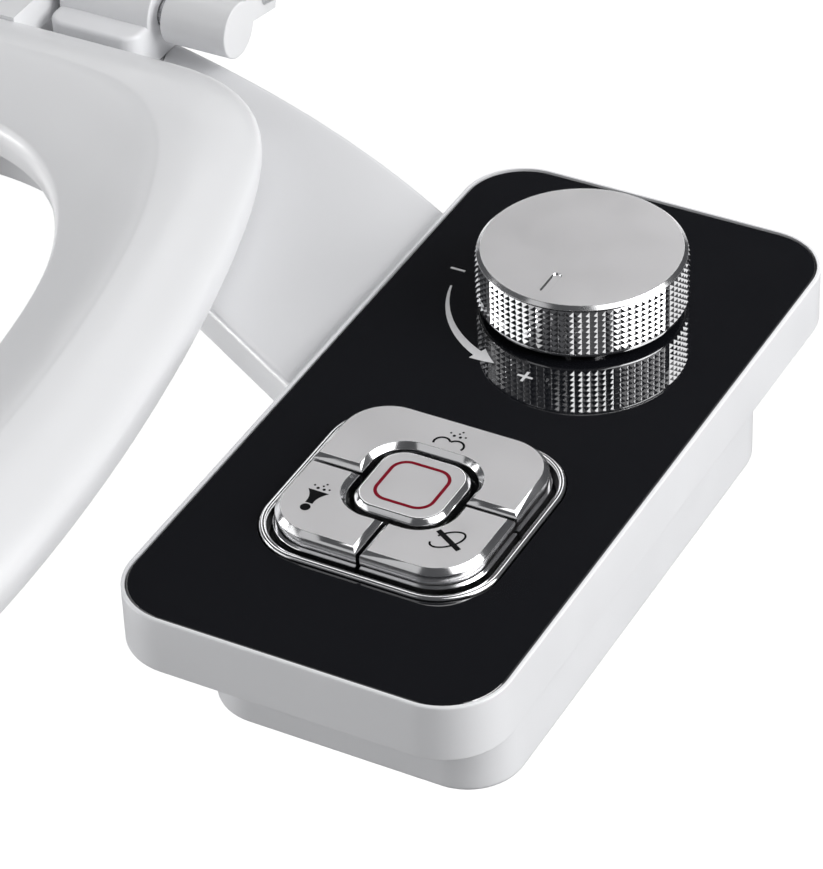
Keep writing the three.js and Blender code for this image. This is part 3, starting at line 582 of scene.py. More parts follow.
def panel_glass():
    bottom = GLASS_Z - GLASS_THICKNESS
    edge = soften([(0, bottom), (0, GLASS_Z - 0.35), (0.35, GLASS_Z)], 0.15)
    key_hole = rounded_square(KEYPAD.x, KEYPAD.y, BEZEL_SIZE + 2 * GAP, BEZEL_CORNER + GAP)
    return without(
        loft(panel_outline(0), edge),
        slab(key_hole, bottom - CUT, GLASS_Z + CUT),
        post(KNOB.x, KNOB.y, bottom - CUT, GLASS_Z + CUT, 6.5),
    )


INLET = (box("inlet_fitting")[0] + box("inlet_fitting")[1]) / 2
INLET_RADIUS = 7.8


def lower_case():
    """The tub below the shell, with a flange inside the shell's wall."""
    top = SHELL_BOTTOM + 2.2
    flange = slab(panel_outline(RIM - SHELL_WALL - GAP), SHELL_BOTTOM + 0.2, top)
    outline = rounded_box(TUB_X0, TUB_Y0, TUB_X1, TUB_Y1, TUB_CORNER)
    tub = loft(outline, soften([(4, TUB_BOTTOM), (0, TUB_BOTTOM), (0, top)], 1.5, 6))
    inside = inset(outline, TUB_WALL)
    tub_floor = TUB_BOTTOM + TUB_WALL
    hollow = loft(inside, soften([(4, tub_floor), (0, tub_floor), (0, top + CUT)], 1, 3))
    body = without(joined(flange, tub), hollow)
    body = joined(body, *[post(s.x, s.y, TUB_BOTTOM + 1, PILLAR_TOP, 5.2) for s in SCREWS])
    holes = [post(s.x, s.y, TUB_BOTTOM - CUT, PILLAR_TOP + CUT, 2) for s in SCREWS]
    holes += [post(s.x, s.y, TUB_BOTTOM - CUT, TUB_BOTTOM + 2.3, 3.6) for s in SCREWS]
    return without(body, *holes, bar(INLET.x, TUB_Y1 - 4, TUB_Y1 + CUT, INLET.z, INLET_RADIUS + GAP))


piece(panel_shell(), "panel_shell_moulding", "white_abs", stands_for=["panel_shell"])
piece(panel_glass(), "glass_overlay", "black_glass", stands_for=["panel_glass"])
piece(lower_case(), "lower_case_moulding", "white_abs", stands_for=["lower_case"])

# ---------------------------------------------------------------- keys

KEY_LOW, KEY_HIGH = box("stop_key")
KEY_TOP = KEY_HIGH.z
KEY_BOTTOM = KEY_LOW.z
KEY_TRAVEL = 2.5
STOP_SIZE = KEY_HIGH.x - KEY_LOW.x
STOP_CORNER = 7
OPENING_HALF = STOP_SIZE / 2 + 1.7  # of the cut-out round the stop key
OPENING_CORNER = STOP_CORNER + 1.7
FLANGE_HALF = (box("rear_key")[1].x - box("rear_key")[0].x) / 2
FLANGE_CORNER = 13
FLANGE_TOP = GLASS_Z + 1
WALL_STEP = 0.55  # from the flange in to the key's wall
SLIT_HALF = 0.5
CHAMFER = 1.35


def half_key(half, corner):
    """Plan of the rear key: the rear half of the pad, round the stop key."""
    reach = half - corner
    near = OPENING_HALF - OPENING_CORNER
    return [
        Vector((half, SLIT_HALF)),
        *arc(reach, reach, corner, 0, 90),
        *arc(-reach, reach, corner, 90, 180),
        Vector((-half, SLIT_HALF)),
        Vector((-OPENING_HALF, SLIT_HALF)),
        *arc(-near, near, OPENING_CORNER, 180, 90),
        *arc(near, near, OPENING_CORNER, 90, 0),
        Vector((OPENING_HALF, SLIT_HALF)),
    ]


def quarter_key(half, corner):
    """Plan of the key at the front left corner of the pad."""
    reach = half - corner
    near = OPENING_HALF - OPENING_CORNER
    return [
        Vector((-half, -SLIT_HALF)),
        *arc(-reach, -reach, corner, 180, 270),
        Vector((-SLIT_HALF, -half)),
        Vector((-SLIT_HALF, -OPENING_HALF)),
        *arc(-near, -near, OPENING_CORNER, 270, 180),
        Vector((-OPENING_HALF, -SLIT_HALF)),
    ]


def mirrored_key(half, corner):
    return [Vector((-p.x, p.y)) for p in reversed(quarter_key(half, corner))]


def key(plan):
    """A key with a flange round its foot, an upright polished wall and a chamfered satin top."""
    flange = plan(FLANGE_HALF, FLANGE_CORNER)
    wall = plan(FLANGE_HALF - WALL_STEP, FLANGE_CORNER - WALL_STEP)
    rings = [(flange, 0, KEY_BOTTOM), (flange, 0, FLANGE_TOP - 0.12), (flange, 0.1, FLANGE_TOP)]
    rings.append((wall, 0, FLANGE_TOP))
    key_side = soften([(0, FLANGE_TOP + 0.1), (0, KEY_TOP - CHAMFER), (CHAMFER, KEY_TOP)], 0.15, 2)
    for distance, z in key_side[1:-1]:
        rings.append((wall, distance, z))
    rings += [(wall, CHAMFER - 0.1, KEY_TOP - 0.06), (wall, CHAMFER + 0.08, KEY_TOP)]
    return stack([[(p.x + KEYPAD.x, p.y + KEYPAD.y, z) for p in inset(o, d)] for o, d, z in rings])


def stop_key():
    outline = rounded_square(KEYPAD.x, KEYPAD.y, STOP_SIZE, STOP_CORNER)
    edge = soften([(0, KEY_BOTTOM), (0, KEY_TOP - 1.3), (1.2, KEY_TOP), (2, KEY_TOP)], 0.35, 3)
    return loft(outline, edge)


def half_turn(steps):
    return [math.pi * i / steps for i in range(steps + 1)]


def bezel():
    """A thin ring with a rounded top in the glass round the keys."""
    bottom, top = BEZEL_LOW.z, BEZEL_HIGH.z
    width = 1.9
    crown = [(width / 2 - width / 2 * math.cos(a), top - 0.7 + 0.7 * math.sin(a)) for a in half_turn(12)]
    outline = rounded_square(KEYPAD.x, KEYPAD.y, BEZEL_SIZE, BEZEL_CORNER)
    return loft(outline, [(0, bottom), *crown, (width, bottom)], closed=True)


POLISHED = LOOKS["chrome"]
TOP_FACING = 0.995  # upward part of the normal of a face that gets the satin finish


def satin_top(made, height):
    """Gives the flat top of a polished piece, and the floor of a slot in it, a satin finish."""
    made.data.materials.append(LOOKS["satin_metal"])
    for face in made.data.polygons:
        if face.normal.z > TOP_FACING and face.center.z > (height - 0.6) * MM:
            face.material_index = 1


KEYS = {
    "rear_key": half_key,
    "clean_key": quarter_key,
    "front_key": mirrored_key,
}
for name, plan in KEYS.items():
    made = piece(key(plan), f"{name}_cap", "satin_metal", name, [name], POLISHED)
    satin_top(made, KEY_TOP)
satin_top(piece(stop_key(), "stop_key_cap", "satin_metal", "stop_key", ["stop_key"], POLISHED), KEY_TOP)
piece(bezel(), "bezel_ring", "chrome", stands_for=["key_bezel"])

# ---------------------------------------------------------------- flow knob

ROWS = 8
COLUMNS = 84
KNURL_DEPTH = 0.62
CAP_LOW, CAP_HIGH = box("knob_cap")
KNOB_RADIUS = (KNOB_HIGH.x - KNOB_LOW.x) / 2


def ring_at(radius, z, shift=0.0):
    turn = math.tau / COLUMNS
    angles = [turn * (i + shift) for i in range(COLUMNS)]
    return [(KNOB.x + radius * math.cos(a), KNOB.y + radius * math.sin(a), z) for a in angles]


def knob_body():
    """A cup that hangs over its spindle, with rows of small pyramids round its side."""
    bottom, top = KNOB_LOW.z, KNOB_HIGH.z
    knurl_bottom, knurl_top = bottom + 0.9, top - 0.15
    low = KNOB_RADIUS - KNURL_DEPTH
    pitch = (knurl_top - knurl_bottom) / ROWS
    hub = GLASS_Z + 12 + GAP
    below = [(2, hub), (4.3, hub), (4.3, bottom + 0.4), (8, bottom + 0.4), (8, top - 2.8)]
    wall = KNOB_RADIUS - 3.5
    below += [(wall, top - 2.8), (wall, bottom), (low - 0.3, bottom), (low + 0.1, bottom + 0.3)]
    below += [(low + 0.1, knurl_bottom - 0.15)]
    rings = [ring_at(r, z) for r, z in below]
    first = len(rings)
    rings += [ring_at(low, knurl_bottom + pitch * row) for row in range(ROWS + 1)]
    last = len(rings) - 1
    rings += [ring_at(low, top), ring_at(2, top)]
    tips = [ring_at(KNOB_RADIUS, knurl_bottom + pitch * (row + 0.5), 0.5) for row in range(ROWS)]
    verts = [p for ring in rings + tips for p in ring]
    faces = []
    for level in range(len(rings) - 1):
        for i in range(COLUMNS):
            j = (i + 1) % COLUMNS
            a, b = level * COLUMNS + i, level * COLUMNS + j
            c, d = b + COLUMNS, a + COLUMNS
            if first <= level < last:
                tip = (len(rings) + level - first) * COLUMNS + i
                faces += [(a, b, tip), (b, c, tip), (c, d, tip), (d, a, tip)]
            else:
                faces.append((a, b, c, d))
    faces.append(tuple(range(COLUMNS)))
    faces.append(tuple(range((len(rings) - 1) * COLUMNS, len(rings) * COLUMNS)))
    return solid(verts, faces)


def knob_cap():
    """A disc with a polished chamfer and a sunken pointer, which points to the front."""
    radius = (CAP_HIGH.x - CAP_LOW.x) / 2
    bottom, top = CAP_LOW.z, CAP_HIGH.z
    edge = soften([(radius, bottom), (radius, bottom + 0.1), (radius - 0.95, top), (radius - 2, top)], 0.12)
    slot = rounded_box(KNOB.x - 1.2, KNOB.y - 21.5, KNOB.x + 1.2, KNOB.y - 12.7, 1.1, 8)
    tool = loft(slot, [(0.35, top - 0.4), (0.25, top - 0.25), (-0.3, top + 0.3)])
    return without(turned(KNOB.x, KNOB.y, edge, 128), tool)


piece(knob_body(), "knurled_knob", "chrome", "knob", ["knob_body"], KNURLED)
satin_top(piece(knob_cap(), "knob_disc", "satin_metal", "knob", ["knob_cap"], POLISHED), CAP_HIGH.z)

# ---------------------------------------------------------------- prints on the keys and the glass

PRINT_DEPTH = 0.12
PRINT_PROUD = 0.05


def printed(outline, surface):
    """A thin flat print, let into a surface at a height."""
    return slab(outline, surface + PRINT_PROUD - PRINT_DEPTH, surface + PRINT_PROUD)


def on_keys(points):
    """Points given from the middle of the key pad."""
    return [Vector(p) + KEYPAD.xy for p in points]


def stroke(path, widths):
    """The outline of a line along a path, with a width at each of its points."""
    right, left = [], []
    for i, here in enumerate(path):
        ahead = (path[min(i + 1, len(path) - 1)] - path[max(i - 1, 0)]).normalized()
        side = Vector((ahead.y, -ahead.x)) * widths[i] / 2
        right.append(here + side)
        left.append(here - side)
    return right + left[::-1]


def line(path, width):
    return stroke(path, [width] * len(path))


def dots(places, radius):
    """Outlines of round dots on the key pad."""
    return [circle(p.x, p.y, radius, 16) for p in on_keys(places)]


def drops(x, y):
    """Outlines of the spray of water above a pictogram."""
    large = [(x - 0.7, y), (x + 0.9, y)]
    small = [(x - 1.9, y + 0.7), (x + 0.2, y + 1.1), (x + 2.1, y + 0.4), (x + 0.7, y + 2)]
    return dots(large, 0.38) + dots(small, 0.27)


def rear_pictogram():
    humps = [arc(x, 17.1, 2, start, end) for x, start, end in ((-1.3, 205, 30), (2.3, 150, -25))]
    return [line(on_keys(hump), 0.55) for hump in humps] + drops(0.9, 20.6)


def clean_pictogram():
    x, low, high = -18.4, -16.1, -11.4
    right = bezier([(x + 0.95, low), (x + 0.6, low + 2.4), (x + 2.7, high)], 8)
    left = [Vector((2 * x - p.x, p.y)) for p in reversed(right)]
    ball = dots([(x, low - 1.7)], 1.25)
    return [on_keys(right + left), *ball, *drops(x, high + 1)]


def front_pictogram():
    turn = Matrix.Rotation(math.radians(49), 2)
    orbit_middle = Vector((16.6, -14.3))
    orbit = [turn @ Vector((4.3 * p.x, 2.3 * p.y)) + orbit_middle for p in arc(0, 0, 1, -205, 110, 40)]
    return [line(on_keys(orbit), 0.5), line(on_keys([(13.2, -12.2), (20.6, -16.6)]), 1.3)]


PICTOGRAMS = {
    "rear_key": rear_pictogram,
    "clean_key": clean_pictogram,
    "front_key": front_pictogram,
}
for name, pictogram in PICTOGRAMS.items():
    first, *others = [printed(outline, KEY_TOP) for outline in pictogram()]
    piece(joined(first, *others), f"{name}_pictogram", "black_plastic", name, look=BLACK_PRINT)


def stop_ring():
    low, high = KEY_TOP + PRINT_PROUD - PRINT_DEPTH, KEY_TOP + PRINT_PROUD
    outline = rounded_square(KEYPAD.x, KEYPAD.y, 15.6, 4.3)
    return loft(outline, [(0, low), (0, high), (0.85, high), (0.85, low)], closed=True)


piece(stop_ring(), "stop_key_ring", "black_plastic", "stop_key", look=RED_PRINT)


def dial_arrow():
    """An arc that swells towards its head, which shows the way to a stronger flow."""
    radius = 33.3
    shaft = arc(KNOB.x, KNOB.y, radius, -166, -114, 30)
    head = arc(KNOB.x, KNOB.y, radius, -114, -104, 4)
    widths = [0.5 + 1.9 * i / 30 for i in range(31)] + [5.2 * (1 - i / 4) + 0.05 for i in range(5)]
    return stroke(shaft + head, widths)


def dial_sign(angle, bars):
    """A short sign beside the dial: one bar for less, and two crossed bars for more."""
    x = KNOB.x + 34 * math.cos(math.radians(angle))
    y = KNOB.y + 34 * math.sin(math.radians(angle))
    level = [Vector((x - 2, y)), Vector((x + 2, y))]
    upright = [Vector((x, y - 2)), Vector((x, y + 2))]
    first, *others = [printed(line(path, 0.7), GLASS_Z) for path in (level, upright)[:bars]]
    return joined(first, *others)


piece(printed(dial_arrow(), GLASS_Z), "dial_arrow", "white_abs", look=WHITE_PRINT)
piece(dial_sign(-178, 1), "dial_less_sign", "white_abs", look=WHITE_PRINT)
piece(dial_sign(-88, 2), "dial_more_sign", "white_abs", look=WHITE_PRINT)

# ---------------------------------------------------------------- seat ring

HINGE_Y, HINGE_Z = 8, 23
PIN_RADIUS = 4
PIN_END = 103.7
KNUCKLE_RADIUS = 8
RING_BOTTOM = 14.5
ROUND = 240  # points round the ring and the lid


def mirrored_outline(start, pieces, count=ROUND):
    """Even points round an outline that is symmetric in X, from the pieces of its right half."""
    right = []
    here = start
    for controls in pieces:
        right += bezier([here, *controls], 1 if len(controls) == 1 else 60)[:-1]
        here = controls[-1]
    right.append(Vector(here))
    path = right + [Vector((-p.x, p.y)) for p in reversed(right[:-1])]
    spans = [(b - a).length for a, b in zip(path, path[1:])]
    step = sum(spans) / count
    points = []
    walked = 0.0
    for a, b, span in zip(path, path[1:], spans):
        while len(points) < count and len(points) * step <= walked + span:
            points.append(a.lerp(b, (len(points) * step - walked) / span))
        walked += span
    return points


RING_OUTSIDE = mirrored_outline(
    (0, -14.5),
    [
        [(104, -14.5)],
        [(126, -14.5), (137.5, -30), (144, -47)],
        [(157, -81), (175, -155), (175, -225)],
        [(175, -343.7), (96.7, -440), (0, -440)],
    ],
)
RING_INSIDE = mirrored_outline(
    (0, -59),
    [
        [(58, -59)],
        [(88, -59), (108, -81), (118, -107)],
        [(125, -126), (129, -160), (129, -190)],
        [(129, -294), (71, -378), (0, -378)],
    ],
)

# The ring's section, as (share of the way from the outer to the inner edge, height).
RING_OVER = [
    (0.015, RING_BOTTOM),
    (0, 18.5),
    (0.004, 22.2),
    (0.045, 25),
    (0.14, 27.6),
    (0.3, 30.4),
    (0.45, 31.9),
    (0.5, 32),
    (0.57, 31.6),
    (0.72, 29.4),
    (0.93, 25.8),
    (0.985, 24),
    (1, 20),
    (0.985, RING_BOTTOM),
]
RING_UNDER = [(0.92, RING_BOTTOM), (0.9, 22.5), (0.5, 29), (0.3, 27.6), (0.095, 21.5), (0.08, RING_BOTTOM)]


def ring_band():
    section = through(RING_OVER, 5) + through(RING_UNDER, 3)
    rings = []
    for share, z in section:
        pairs = zip(RING_OUTSIDE, RING_INSIDE)
        rings.append([(*a.lerp(b, share), z) for a, b in pairs])
    return stack(rings, closed=True)


def ends(inner, outer, sign):
    return sorted((sign * inner, sign * outer))


def knuckle(x0, x1):
    return rod(x0, x1, HINGE_Y, HINGE_Z, KNUCKLE_RADIUS, 0.8)


def pin_bore():
    return rod(-PIN_END - GAP, PIN_END + GAP, HINGE_Y, HINGE_Z, PIN_RADIUS + GAP)


def ring_ear(sign):
    x0, x1 = ends(35, 53, sign)
    arm = block(x0, -19, 18, x1, HINGE_Y, 28)
    return joined(arm, knuckle(x0, x1))


def seat_ring():
    return without(joined(ring_band(), ring_ear(-1), ring_ear(1)), pin_bore())


piece(seat_ring(), "seat_ring_moulding", "seat_white", "ring", ["seat_ring"])


def bumper(name, rides):
    """A soft stop with a rounded foot."""
    low, high = box(name)
    middle = (low + high) / 2
    radius = (high.x - low.x) / 2
    profile = soften([(radius - 1.2, low.z), (radius, low.z), (radius, high.z)], 1.2, 4)
    return turned(middle.x, middle.y, [(1, low.z), *profile], 40)


RING_BUMPERS = [f"ring_bumper_{place}_{side}" for place in ("front", "side") for side in ("left", "right")]
for name in RING_BUMPERS:
    piece(bumper(name, "ring"), f"{name}_pad", "grey_rubber", "ring", [name])

# ---------------------------------------------------------------- lid

LID_OPEN = math.radians(101)
LID_RIM = 35
LID_MIDDLE = Vector((0, -215))
LID_OUTLINE = mirrored_outline(
    (0, 15),
    [
        [(78, 15)],
        [(108, 15), (128, -12), (141, -46)],
        [(155, -84), (178, -155), (178, -226)],
        [(178, -346), (98, -444), (0, -444)],
    ],
)

# The lid's section, as (share of the way from its middle to its edge, height).
LID_OVER = [(0.02, 50), (0.5, 49), (0.8, 47), (0.94, 44.5), (0.99, 41), (1, 37), (0.996, LID_RIM)]
LID_UNDER = [(0.968, LID_RIM), (0.95, 39.5), (0.9, 42.5), (0.5, 45), (0.02, 46)]


def raised(body):
    """Turns the closed lid up about its hinge, as it leans at rest."""
    hinge = Matrix.Translation((0, HINGE_Y, HINGE_Z))
    return placed(body, hinge @ Matrix.Rotation(-LID_OPEN, 4, "X") @ hinge.inverted())


def lid_ear(sign):
    x0, x1 = ends(87, 107, sign)
    return joined(block(x0, HINGE_Y - 7.5, HINGE_Z, x1, HINGE_Y, LID_RIM + 8), knuckle(x0, x1))


def lid():
    section = through(LID_OVER, 5) + through(LID_UNDER, 5)
    plate = stack([[(*LID_MIDDLE.lerp(p, share), z) for p in LID_OUTLINE] for share, z in section])
    return raised(without(joined(plate, lid_ear(-1), lid_ear(1)), pin_bore()))


lid_piece = piece(lid(), "lid_moulding", "seat_white", "lid", ["lid"])
lid_piece.visible_glossy = False  # or else its mirror image greys half of the glass
for side, sign in (("left", -1), ("right", 1)):
    pad = post(sign * 78, -372, 32.6, LID_RIM + 6.5, 5, 0.8)
    piece(raised(pad), f"lid_bumper_{side}_pad", "grey_rubber", "lid", [f"lid_bumper_{side}"])

# ---------------------------------------------------------------- base plate and arm

BASE_TOP = 10
BASE_FRONT, BASE_REAR = -50, 20
BASE_WALL = 2.2
BASE_EDGE = 2.4
COVER_TOP = 1.9
BOLT_X = 70
ARM_END = 190.4
ARM_START = (104, -62)
ARM_FRONT_SLOPE = 0.572
ARM_REAR = -29.5
DISC_RADIUS = 15


def base_outline():
    """Plan of the plate: round at the left end, and swept forwards into the arm at the right."""
    front_end = (ARM_END, ARM_START[1] - (ARM_END - ARM_START[0]) * ARM_FRONT_SLOPE)
    points = [
        *arc(-BOLT_X, (BASE_FRONT + BASE_REAR) / 2, (BASE_REAR - BASE_FRONT) / 2, 90, 270, 40),
        *bezier([(62, BASE_FRONT), (84, BASE_FRONT), ARM_START]),
        Vector(front_end),
        *bezier([(ARM_END, ARM_REAR), (160, -11), (120, 6), (70, 17)], 30),
        *bezier([(70, 17), (52, BASE_REAR), (30, BASE_REAR)]),
    ]
    return distinct(points)


def base_plate():
    outline = base_outline()
    shell = loft(outline, soften([(0, 0), (0, BASE_TOP), (2 * BASE_EDGE, BASE_TOP)], BASE_EDGE, 6))
    hollow = slab(inset(outline, BASE_WALL), -CUT, BASE_TOP - BASE_WALL)
    body = without(shell, hollow)
    collars = [post(s * BOLT_X, 0, COVER_TOP + GAP, BASE_TOP - CUT, DISC_RADIUS + 2.4) for s in (-1, 1)]
    lugs = [block(ARM_END - 8, y0, 2.2, 207, y1, 7.8) for y0, y1 in ((-100, -87), (-53, -40))]
    body = joined(body, *collars, *lugs)
    return without(
        body,
        *[post(s * BOLT_X, 0, -CUT, BASE_TOP + CUT, DISC_RADIUS + 0.4) for s in (-1, 1)],
        block(ARM_END - 6, -84, 2.2, ARM_END + CUT, -56, BASE_TOP - BASE_WALL),
        block(-24 - GAP, BASE_FRONT - CUT, COVER_TOP + GAP, 24 + GAP, BASE_FRONT + 4, 7.6 + GAP),
    )


def bolt_slot(x, bottom, top):
    return slab(rounded_box(x - 4.5, -12, x + 4.5, 12, 4.49), bottom, top)


def base_cover():
    plate = slab(inset(base_outline(), BASE_WALL + GAP), 0, COVER_TOP, 0.3)
    return without(plate, *[bolt_slot(s * BOLT_X, -CUT, COVER_TOP + CUT) for s in (-1, 1)])


def adjuster_disc(x):
    disc = post(x, 0, COVER_TOP + GAP, BASE_TOP - GAP, DISC_RADIUS, 0.5)
    return without(disc, bolt_slot(x, 0, BASE_TOP + CUT))


piece(base_plate(), "base_plate_moulding", "white_abs", stands_for=["base_plate"])
piece(base_cover(), "base_cover_plate", "white_abs", stands_for=["base_cover"])

# ---------------------------------------------------------------- hinges and seat bolts

HEAD_BOTTOM, HEAD_TOP, HEAD_RADIUS = 13, 16, 6.5


def hinge_post(x):
    foot = loft(
        rounded_box(x - 14, -9, x + 14, 17, 5),
        soften([(0, BASE_TOP + GAP), (0, HINGE_Z), (3, HINGE_Z)], 1.5, 4),
    )
    barrel = rod(x - 14, x + 14, HINGE_Y, HINGE_Z, 9.3, 1)
    room = HEAD_RADIUS + 0.4
    return without(
        joined(foot, barrel),
        block(x - room, -10, HEAD_BOTTOM - 0.2, x + room, 7, HEAD_TOP + GAP),
        post(x, 0, BASE_TOP - CUT, HEAD_BOTTOM, 4.4),
        rod(x - 15, x + 15, HINGE_Y, HINGE_Z, PIN_RADIUS + GAP),
    )


def thread(x, y, bottom, top, radius, pitch=1.25, depth=0.55, sides=24):
    """A shank with a screw thread, drawn as one spiral stack."""
    turns = int((top - bottom) / pitch)
    rings = []
    steps = turns * 4
    for level in range(steps + 1):
        z = bottom + (top - bottom) * level / steps
        ring = []
        for i in range(sides):
            angle = math.tau * i / sides
            phase = (z / pitch + i / sides) % 1
            r = radius - depth * abs(2 * phase - 1)
            ring.append((x + r * math.cos(angle), y + r * math.sin(angle), z))
        rings.append(ring)
    return stack(rings)


def seat_bolt(x):
    head = slab(circle(x, 0, HEAD_RADIUS, 6), HEAD_BOTTOM, HEAD_TOP, 0.5)
    shank = post(x, 0, -8, HEAD_BOTTOM + 0.5, 4)
    return joined(head, shank, thread(x, 0, -62, -7.5, 4))


def wing_nut(x):
    hub = turned(
        x, 0, soften([(8, -46), (9.5, -36), (13, -34), (13, -30)], 0.8),
    )
    wings = slab(rounded_box(x - 20, -2, x + 20, 2, 1.9, 5), -46, -37, 1)
    return without(joined(hub, wings), post(x, 0, -47, -29, 4.3))


for side, sign in (("left", -1), ("right", 1)):
    x = sign * BOLT_X
    pin = rod(*ends(33, PIN_END, sign), HINGE_Y, HINGE_Z, PIN_RADIUS, 0.6)
    piece(adjuster_disc(x), f"adjuster_{side}", "white_abs", stands_for=[f"adjuster_disc_{side}"])
    piece(hinge_post(x), f"hinge_block_{side}", "white_abs", stands_for=[f"hinge_post_{side}"])
    piece(pin, f"hinge_rod_{side}", "steel", stands_for=[f"hinge_pin_{side}"])
    piece(seat_bolt(x), f"threaded_bolt_{side}", "steel", stands_for=[f"seat_bolt_{side}"])
    piece(wing_nut(x), f"winged_nut_{side}", "white_abs", stands_for=[f"wing_nut_{side}"])

# ---------------------------------------------------------------- nozzle unit

NOZZLE_Y = -67
NOZZLE_X = {"rear_nozzle": 10, "front_nozzle": -10}
HOUSING_LOW, HOUSING_HIGH = box("nozzle_housing")
HOUSING_HALF, HOUSING_FRONT, HOUSING_REAR = 28, -80, -54
GATE_PIVOT_Z = 0.5
GATE_TOP = 5.5
HOSE_Z = 5.1


def nozzle_housing():
    low, high = HOUSING_LOW.z, HOUSING_HIGH.z
    outline = rounded_box(-HOUSING_HALF, HOUSING_FRONT, HOUSING_HALF, HOUSING_REAR, 5)
    body = loft(outline, soften([(1, low), (0, low), (0, high), (3, high)], 1.5, 5))
    neck = block(-24, HOUSING_REAR - CUT, 2.4, 24, -46, 7.6)
    body = joined(body, neck, rod(HOUSING_LOW.x, HOUSING_HIGH.x, NOZZLE_Y, GATE_PIVOT_Z, 2.5, 0.5))
    bores = [post(x, NOZZLE_Y, low - CUT, high - 2, 4.5) for x in NOZZLE_X.values()]
    ports = [bar(x, NOZZLE_Y + 3, -46 + CUT, HOSE_Z - 0.8, 1.6) for x in (-9, 0, 9)]
    return without(body, *bores, *ports, post(0, NOZZLE_Y + 6, low - CUT, HOSE_Z, 1.5))


def nozzle(name):
    """A tube with a collar at its top, a round tip, and a group of spray holes towards the front."""
    low, high = box(name)
    x = NOZZLE_X[name]
    outside = soften(
        [(2, low.z), (3, low.z), (4.1, low.z + 1.5), (4.1, low.z + 8.6), (3.2, low.z + 8.6)]
        + [(3.2, high.z - 4), (4.2, high.z - 4), (4.2, high.z), (1.6, high.z)],
        0.4,
    )
    body = without(turned(x, NOZZLE_Y, outside), post(x, NOZZLE_Y, low.z + 4, high.z + CUT, 1.6))
    level = low.z + 4.8
    offsets = [(-1.1, 0), (1.1, 0), (0, 1.2)]
    holes = [bar(x + dx, NOZZLE_Y - 5, NOZZLE_Y, level + dz, 0.4) for dx, dz in offsets]
    return without(body, *holes)


def nozzle_gland(name):
    low, high = box(name)
    middle = (low + high) / 2
    profile = [(3.5, low.z), (4.2, low.z), (4.2, high.z), (3.5, high.z)]
    return turned(middle.x, middle.y, profile, 48, closed=True)


def nozzle_gate():
    """An apron on three sides of the housing, which swings on its two pivots."""
    low = box("nozzle_gate")[0].z
    half = HOUSING_HALF + 4
    front, rear = HOUSING_FRONT - 4.4, NOZZLE_Y + 7
    outline = rounded_box(-half, front, half, rear + 12, 9)
    shell = loft(outline, soften([(4, low), (0, low), (0, GATE_TOP), (2, GATE_TOP)], 1, 4))
    return without(
        shell,
        slab(rounded_box(2 - half, front + 2, half - 2, rear + 13, 7), low - 2, GATE_TOP + CUT),
        block(-half - CUT, rear, low - 2, half + CUT, rear + 20, GATE_TOP + CUT),
        rod(-half - CUT, half + CUT, NOZZLE_Y, GATE_PIVOT_Z, 2.5 + GAP),
    )


def spring(name, wire, turns, short=0.0):
    """A coil spring as wide as its CAD node. It keeps its length when its joint moves.

    A key's coil is drawn shorter, to stay clear of the pressed plunger, so at rest it ends below it.
    A nozzle's coil touches its nozzle at rest, and the collar passes through it when the nozzle comes out.
    """
    low, high = box(name)
    middle = (low + high) / 2
    radius = (high.x - low.x) / 2 - wire
    bottom, top = low.z + wire, high.z - wire - short
    points = []
    for i in range(turns * 12 + 1):
        angle = math.tau * i / 12
        z = bottom + (top - bottom) * i / (turns * 12)
        points.append(Vector((middle.x + radius * math.cos(angle), middle.y + radius * math.sin(angle), z)))
    return tube(points, wire, 1, 8)


piece(nozzle_housing(), "spray_housing", "white_abs", stands_for=["nozzle_housing"])
piece(nozzle_gate(), "spray_gate", "seat_white", "gate", ["nozzle_gate"])
for name in NOZZLE_X:
    piece(nozzle(name), f"{name}_tube", "nozzle_white", name, [name])
    piece(nozzle_gland(f"{name}_gland"), f"{name}_guide", "black_plastic", stands_for=[f"{name}_gland"])
    coil = spring(f"{name}_spring", 0.33, 8)
    piece(coil, f"{name}_coil", "steel", stands_for=[f"{name}_spring"])

# ---------------------------------------------------------------- hoses

HOSE_RADIUS = 2.5
HOSE_PITCH = 7
HOSE_START = GLASS_LOW.x + 13.7
HOSE_END = -45.7
HOSE_LANE, HOSE_OUTLET = -31, -70  # the middle hose in the arm, and at the valve block


def hose(step, port):
    """From the valve block along the arm, and round into a port of the nozzle housing."""
    lane = HOSE_LANE + step * HOSE_PITCH
    outlet = HOSE_OUTLET + step * HOSE_PITCH
    bend = lane - HOSE_END
    route = [
        (HOSE_START, outlet), (HOSE_START - 10, outlet), (186, outlet + 3), (150, outlet + 20),
        (118, lane - 7), (96, lane - 1), (70, lane), (port + bend + 14, lane), (port + bend, lane),
        (port + bend * 0.29, lane - bend * 0.29), (port, HOSE_END + 1), (port, HOSE_END),
    ]
    return tube([Vector((x, y, HOSE_Z)) for x, y in route], HOSE_RADIUS, 8, 20)


for name, step, port in (("rear_wash_hose", -1, 9), ("cleaning_hose", 0, 0), ("front_wash_hose", 1, -9)):
    piece(hose(step, port), f"{name}_tube", "hose_plastic", stands_for=[name])

# ---------------------------------------------------------------- inlet, screws and valve parts


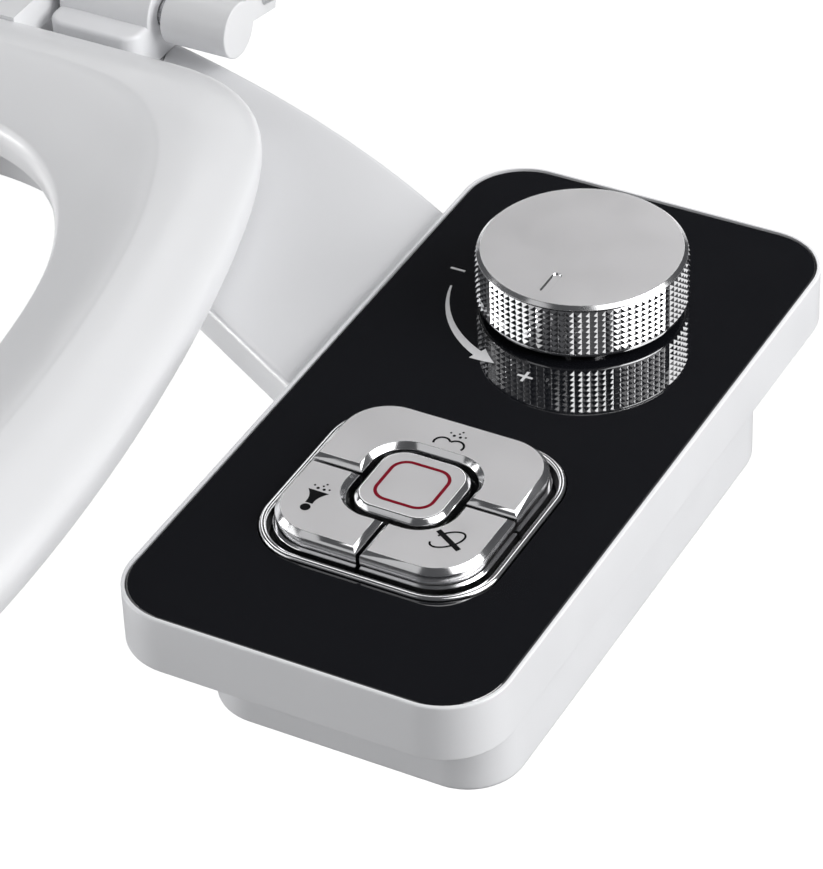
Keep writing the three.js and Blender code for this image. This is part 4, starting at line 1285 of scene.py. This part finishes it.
def inlet_fitting():
    """A brass union: a hexagon against the case, and a threaded nipple for the supply hose."""
    low, high = box("inlet_fitting")
    hex_start = TUB_Y1 + GAP
    hexagon = along_y(slab(circle(0, 0, 9, 6), hex_start, hex_start + 5, 0.5), INLET.x, INLET.z)
    spigot = bar(INLET.x, low.y, hex_start + 1, INLET.z, INLET_RADIUS)
    neck = bar(INLET.x, hex_start + 4, hex_start + 7, INLET.z, INLET_RADIUS - 1)
    nipple = along_y(thread(0, 0, hex_start + 6, high.y, INLET_RADIUS, 1.8, 0.9, 48), INLET.x, INLET.z)
    body = joined(hexagon, spigot, neck, nipple)
    return without(body, bar(INLET.x, low.y - CUT, high.y + CUT, INLET.z, 5))


def case_screw(x, y):
    """A countersunk screw with a cross in its head, driven from below."""
    head = post(x, y, TUB_BOTTOM + 0.2, TUB_BOTTOM + 2, 3.2, 0.3)
    body = joined(head, thread(x, y, TUB_BOTTOM + 1.8, GLASS_Z - 8, 1.5, 1, 0.25, 16))
    arms = [(2, 0.4), (0.4, 2)]
    deep = TUB_BOTTOM + 1.2
    cross = [block(x - a, y - b, TUB_BOTTOM - CUT, x + a, y + b, deep) for a, b in arms]
    return without(body, *cross)


piece(inlet_fitting(), "inlet_union", "brass", stands_for=["inlet_fitting"])
for i, screw in enumerate(SCREWS, 1):
    piece(case_screw(screw.x, screw.y), f"cross_screw_{i}", "steel", stands_for=[f"case_screw_{i}"])

for name in ("rear_key", "clean_key", "front_key", "stop_key"):
    low, high = box(f"{name}_stem")
    x, y = (low.x + high.x) / 2, (low.y + high.y) / 2
    foot = [(2, low.z), (3.9, low.z), (3.9, low.z + 4), (3, low.z + 5), (3, high.z), (1, high.z)]
    stem = turned(x, y, soften(foot, 0.3), 40)
    piece(stem, f"{name}_plunger", "black_plastic", name, [f"{name}_stem"])
    coil = spring(f"{name}_spring", 0.4, 4, KEY_TRAVEL)
    piece(coil, f"{name}_coil", "steel", stands_for=[f"{name}_spring"])

# ---------------------------------------------------------------- the remaining CAD nodes

stood_for = {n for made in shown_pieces() for n in made.get("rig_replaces", [])}
for subpart in frame["record"]["subparts"]:
    if subpart["node"] not in stood_for:
        shown = frame["nodes"][subpart["node"]]
        shown.material_slots[0].link = "OBJECT"
        shown.material_slots[0].material = LOOKS[subpart["material_slot"]]
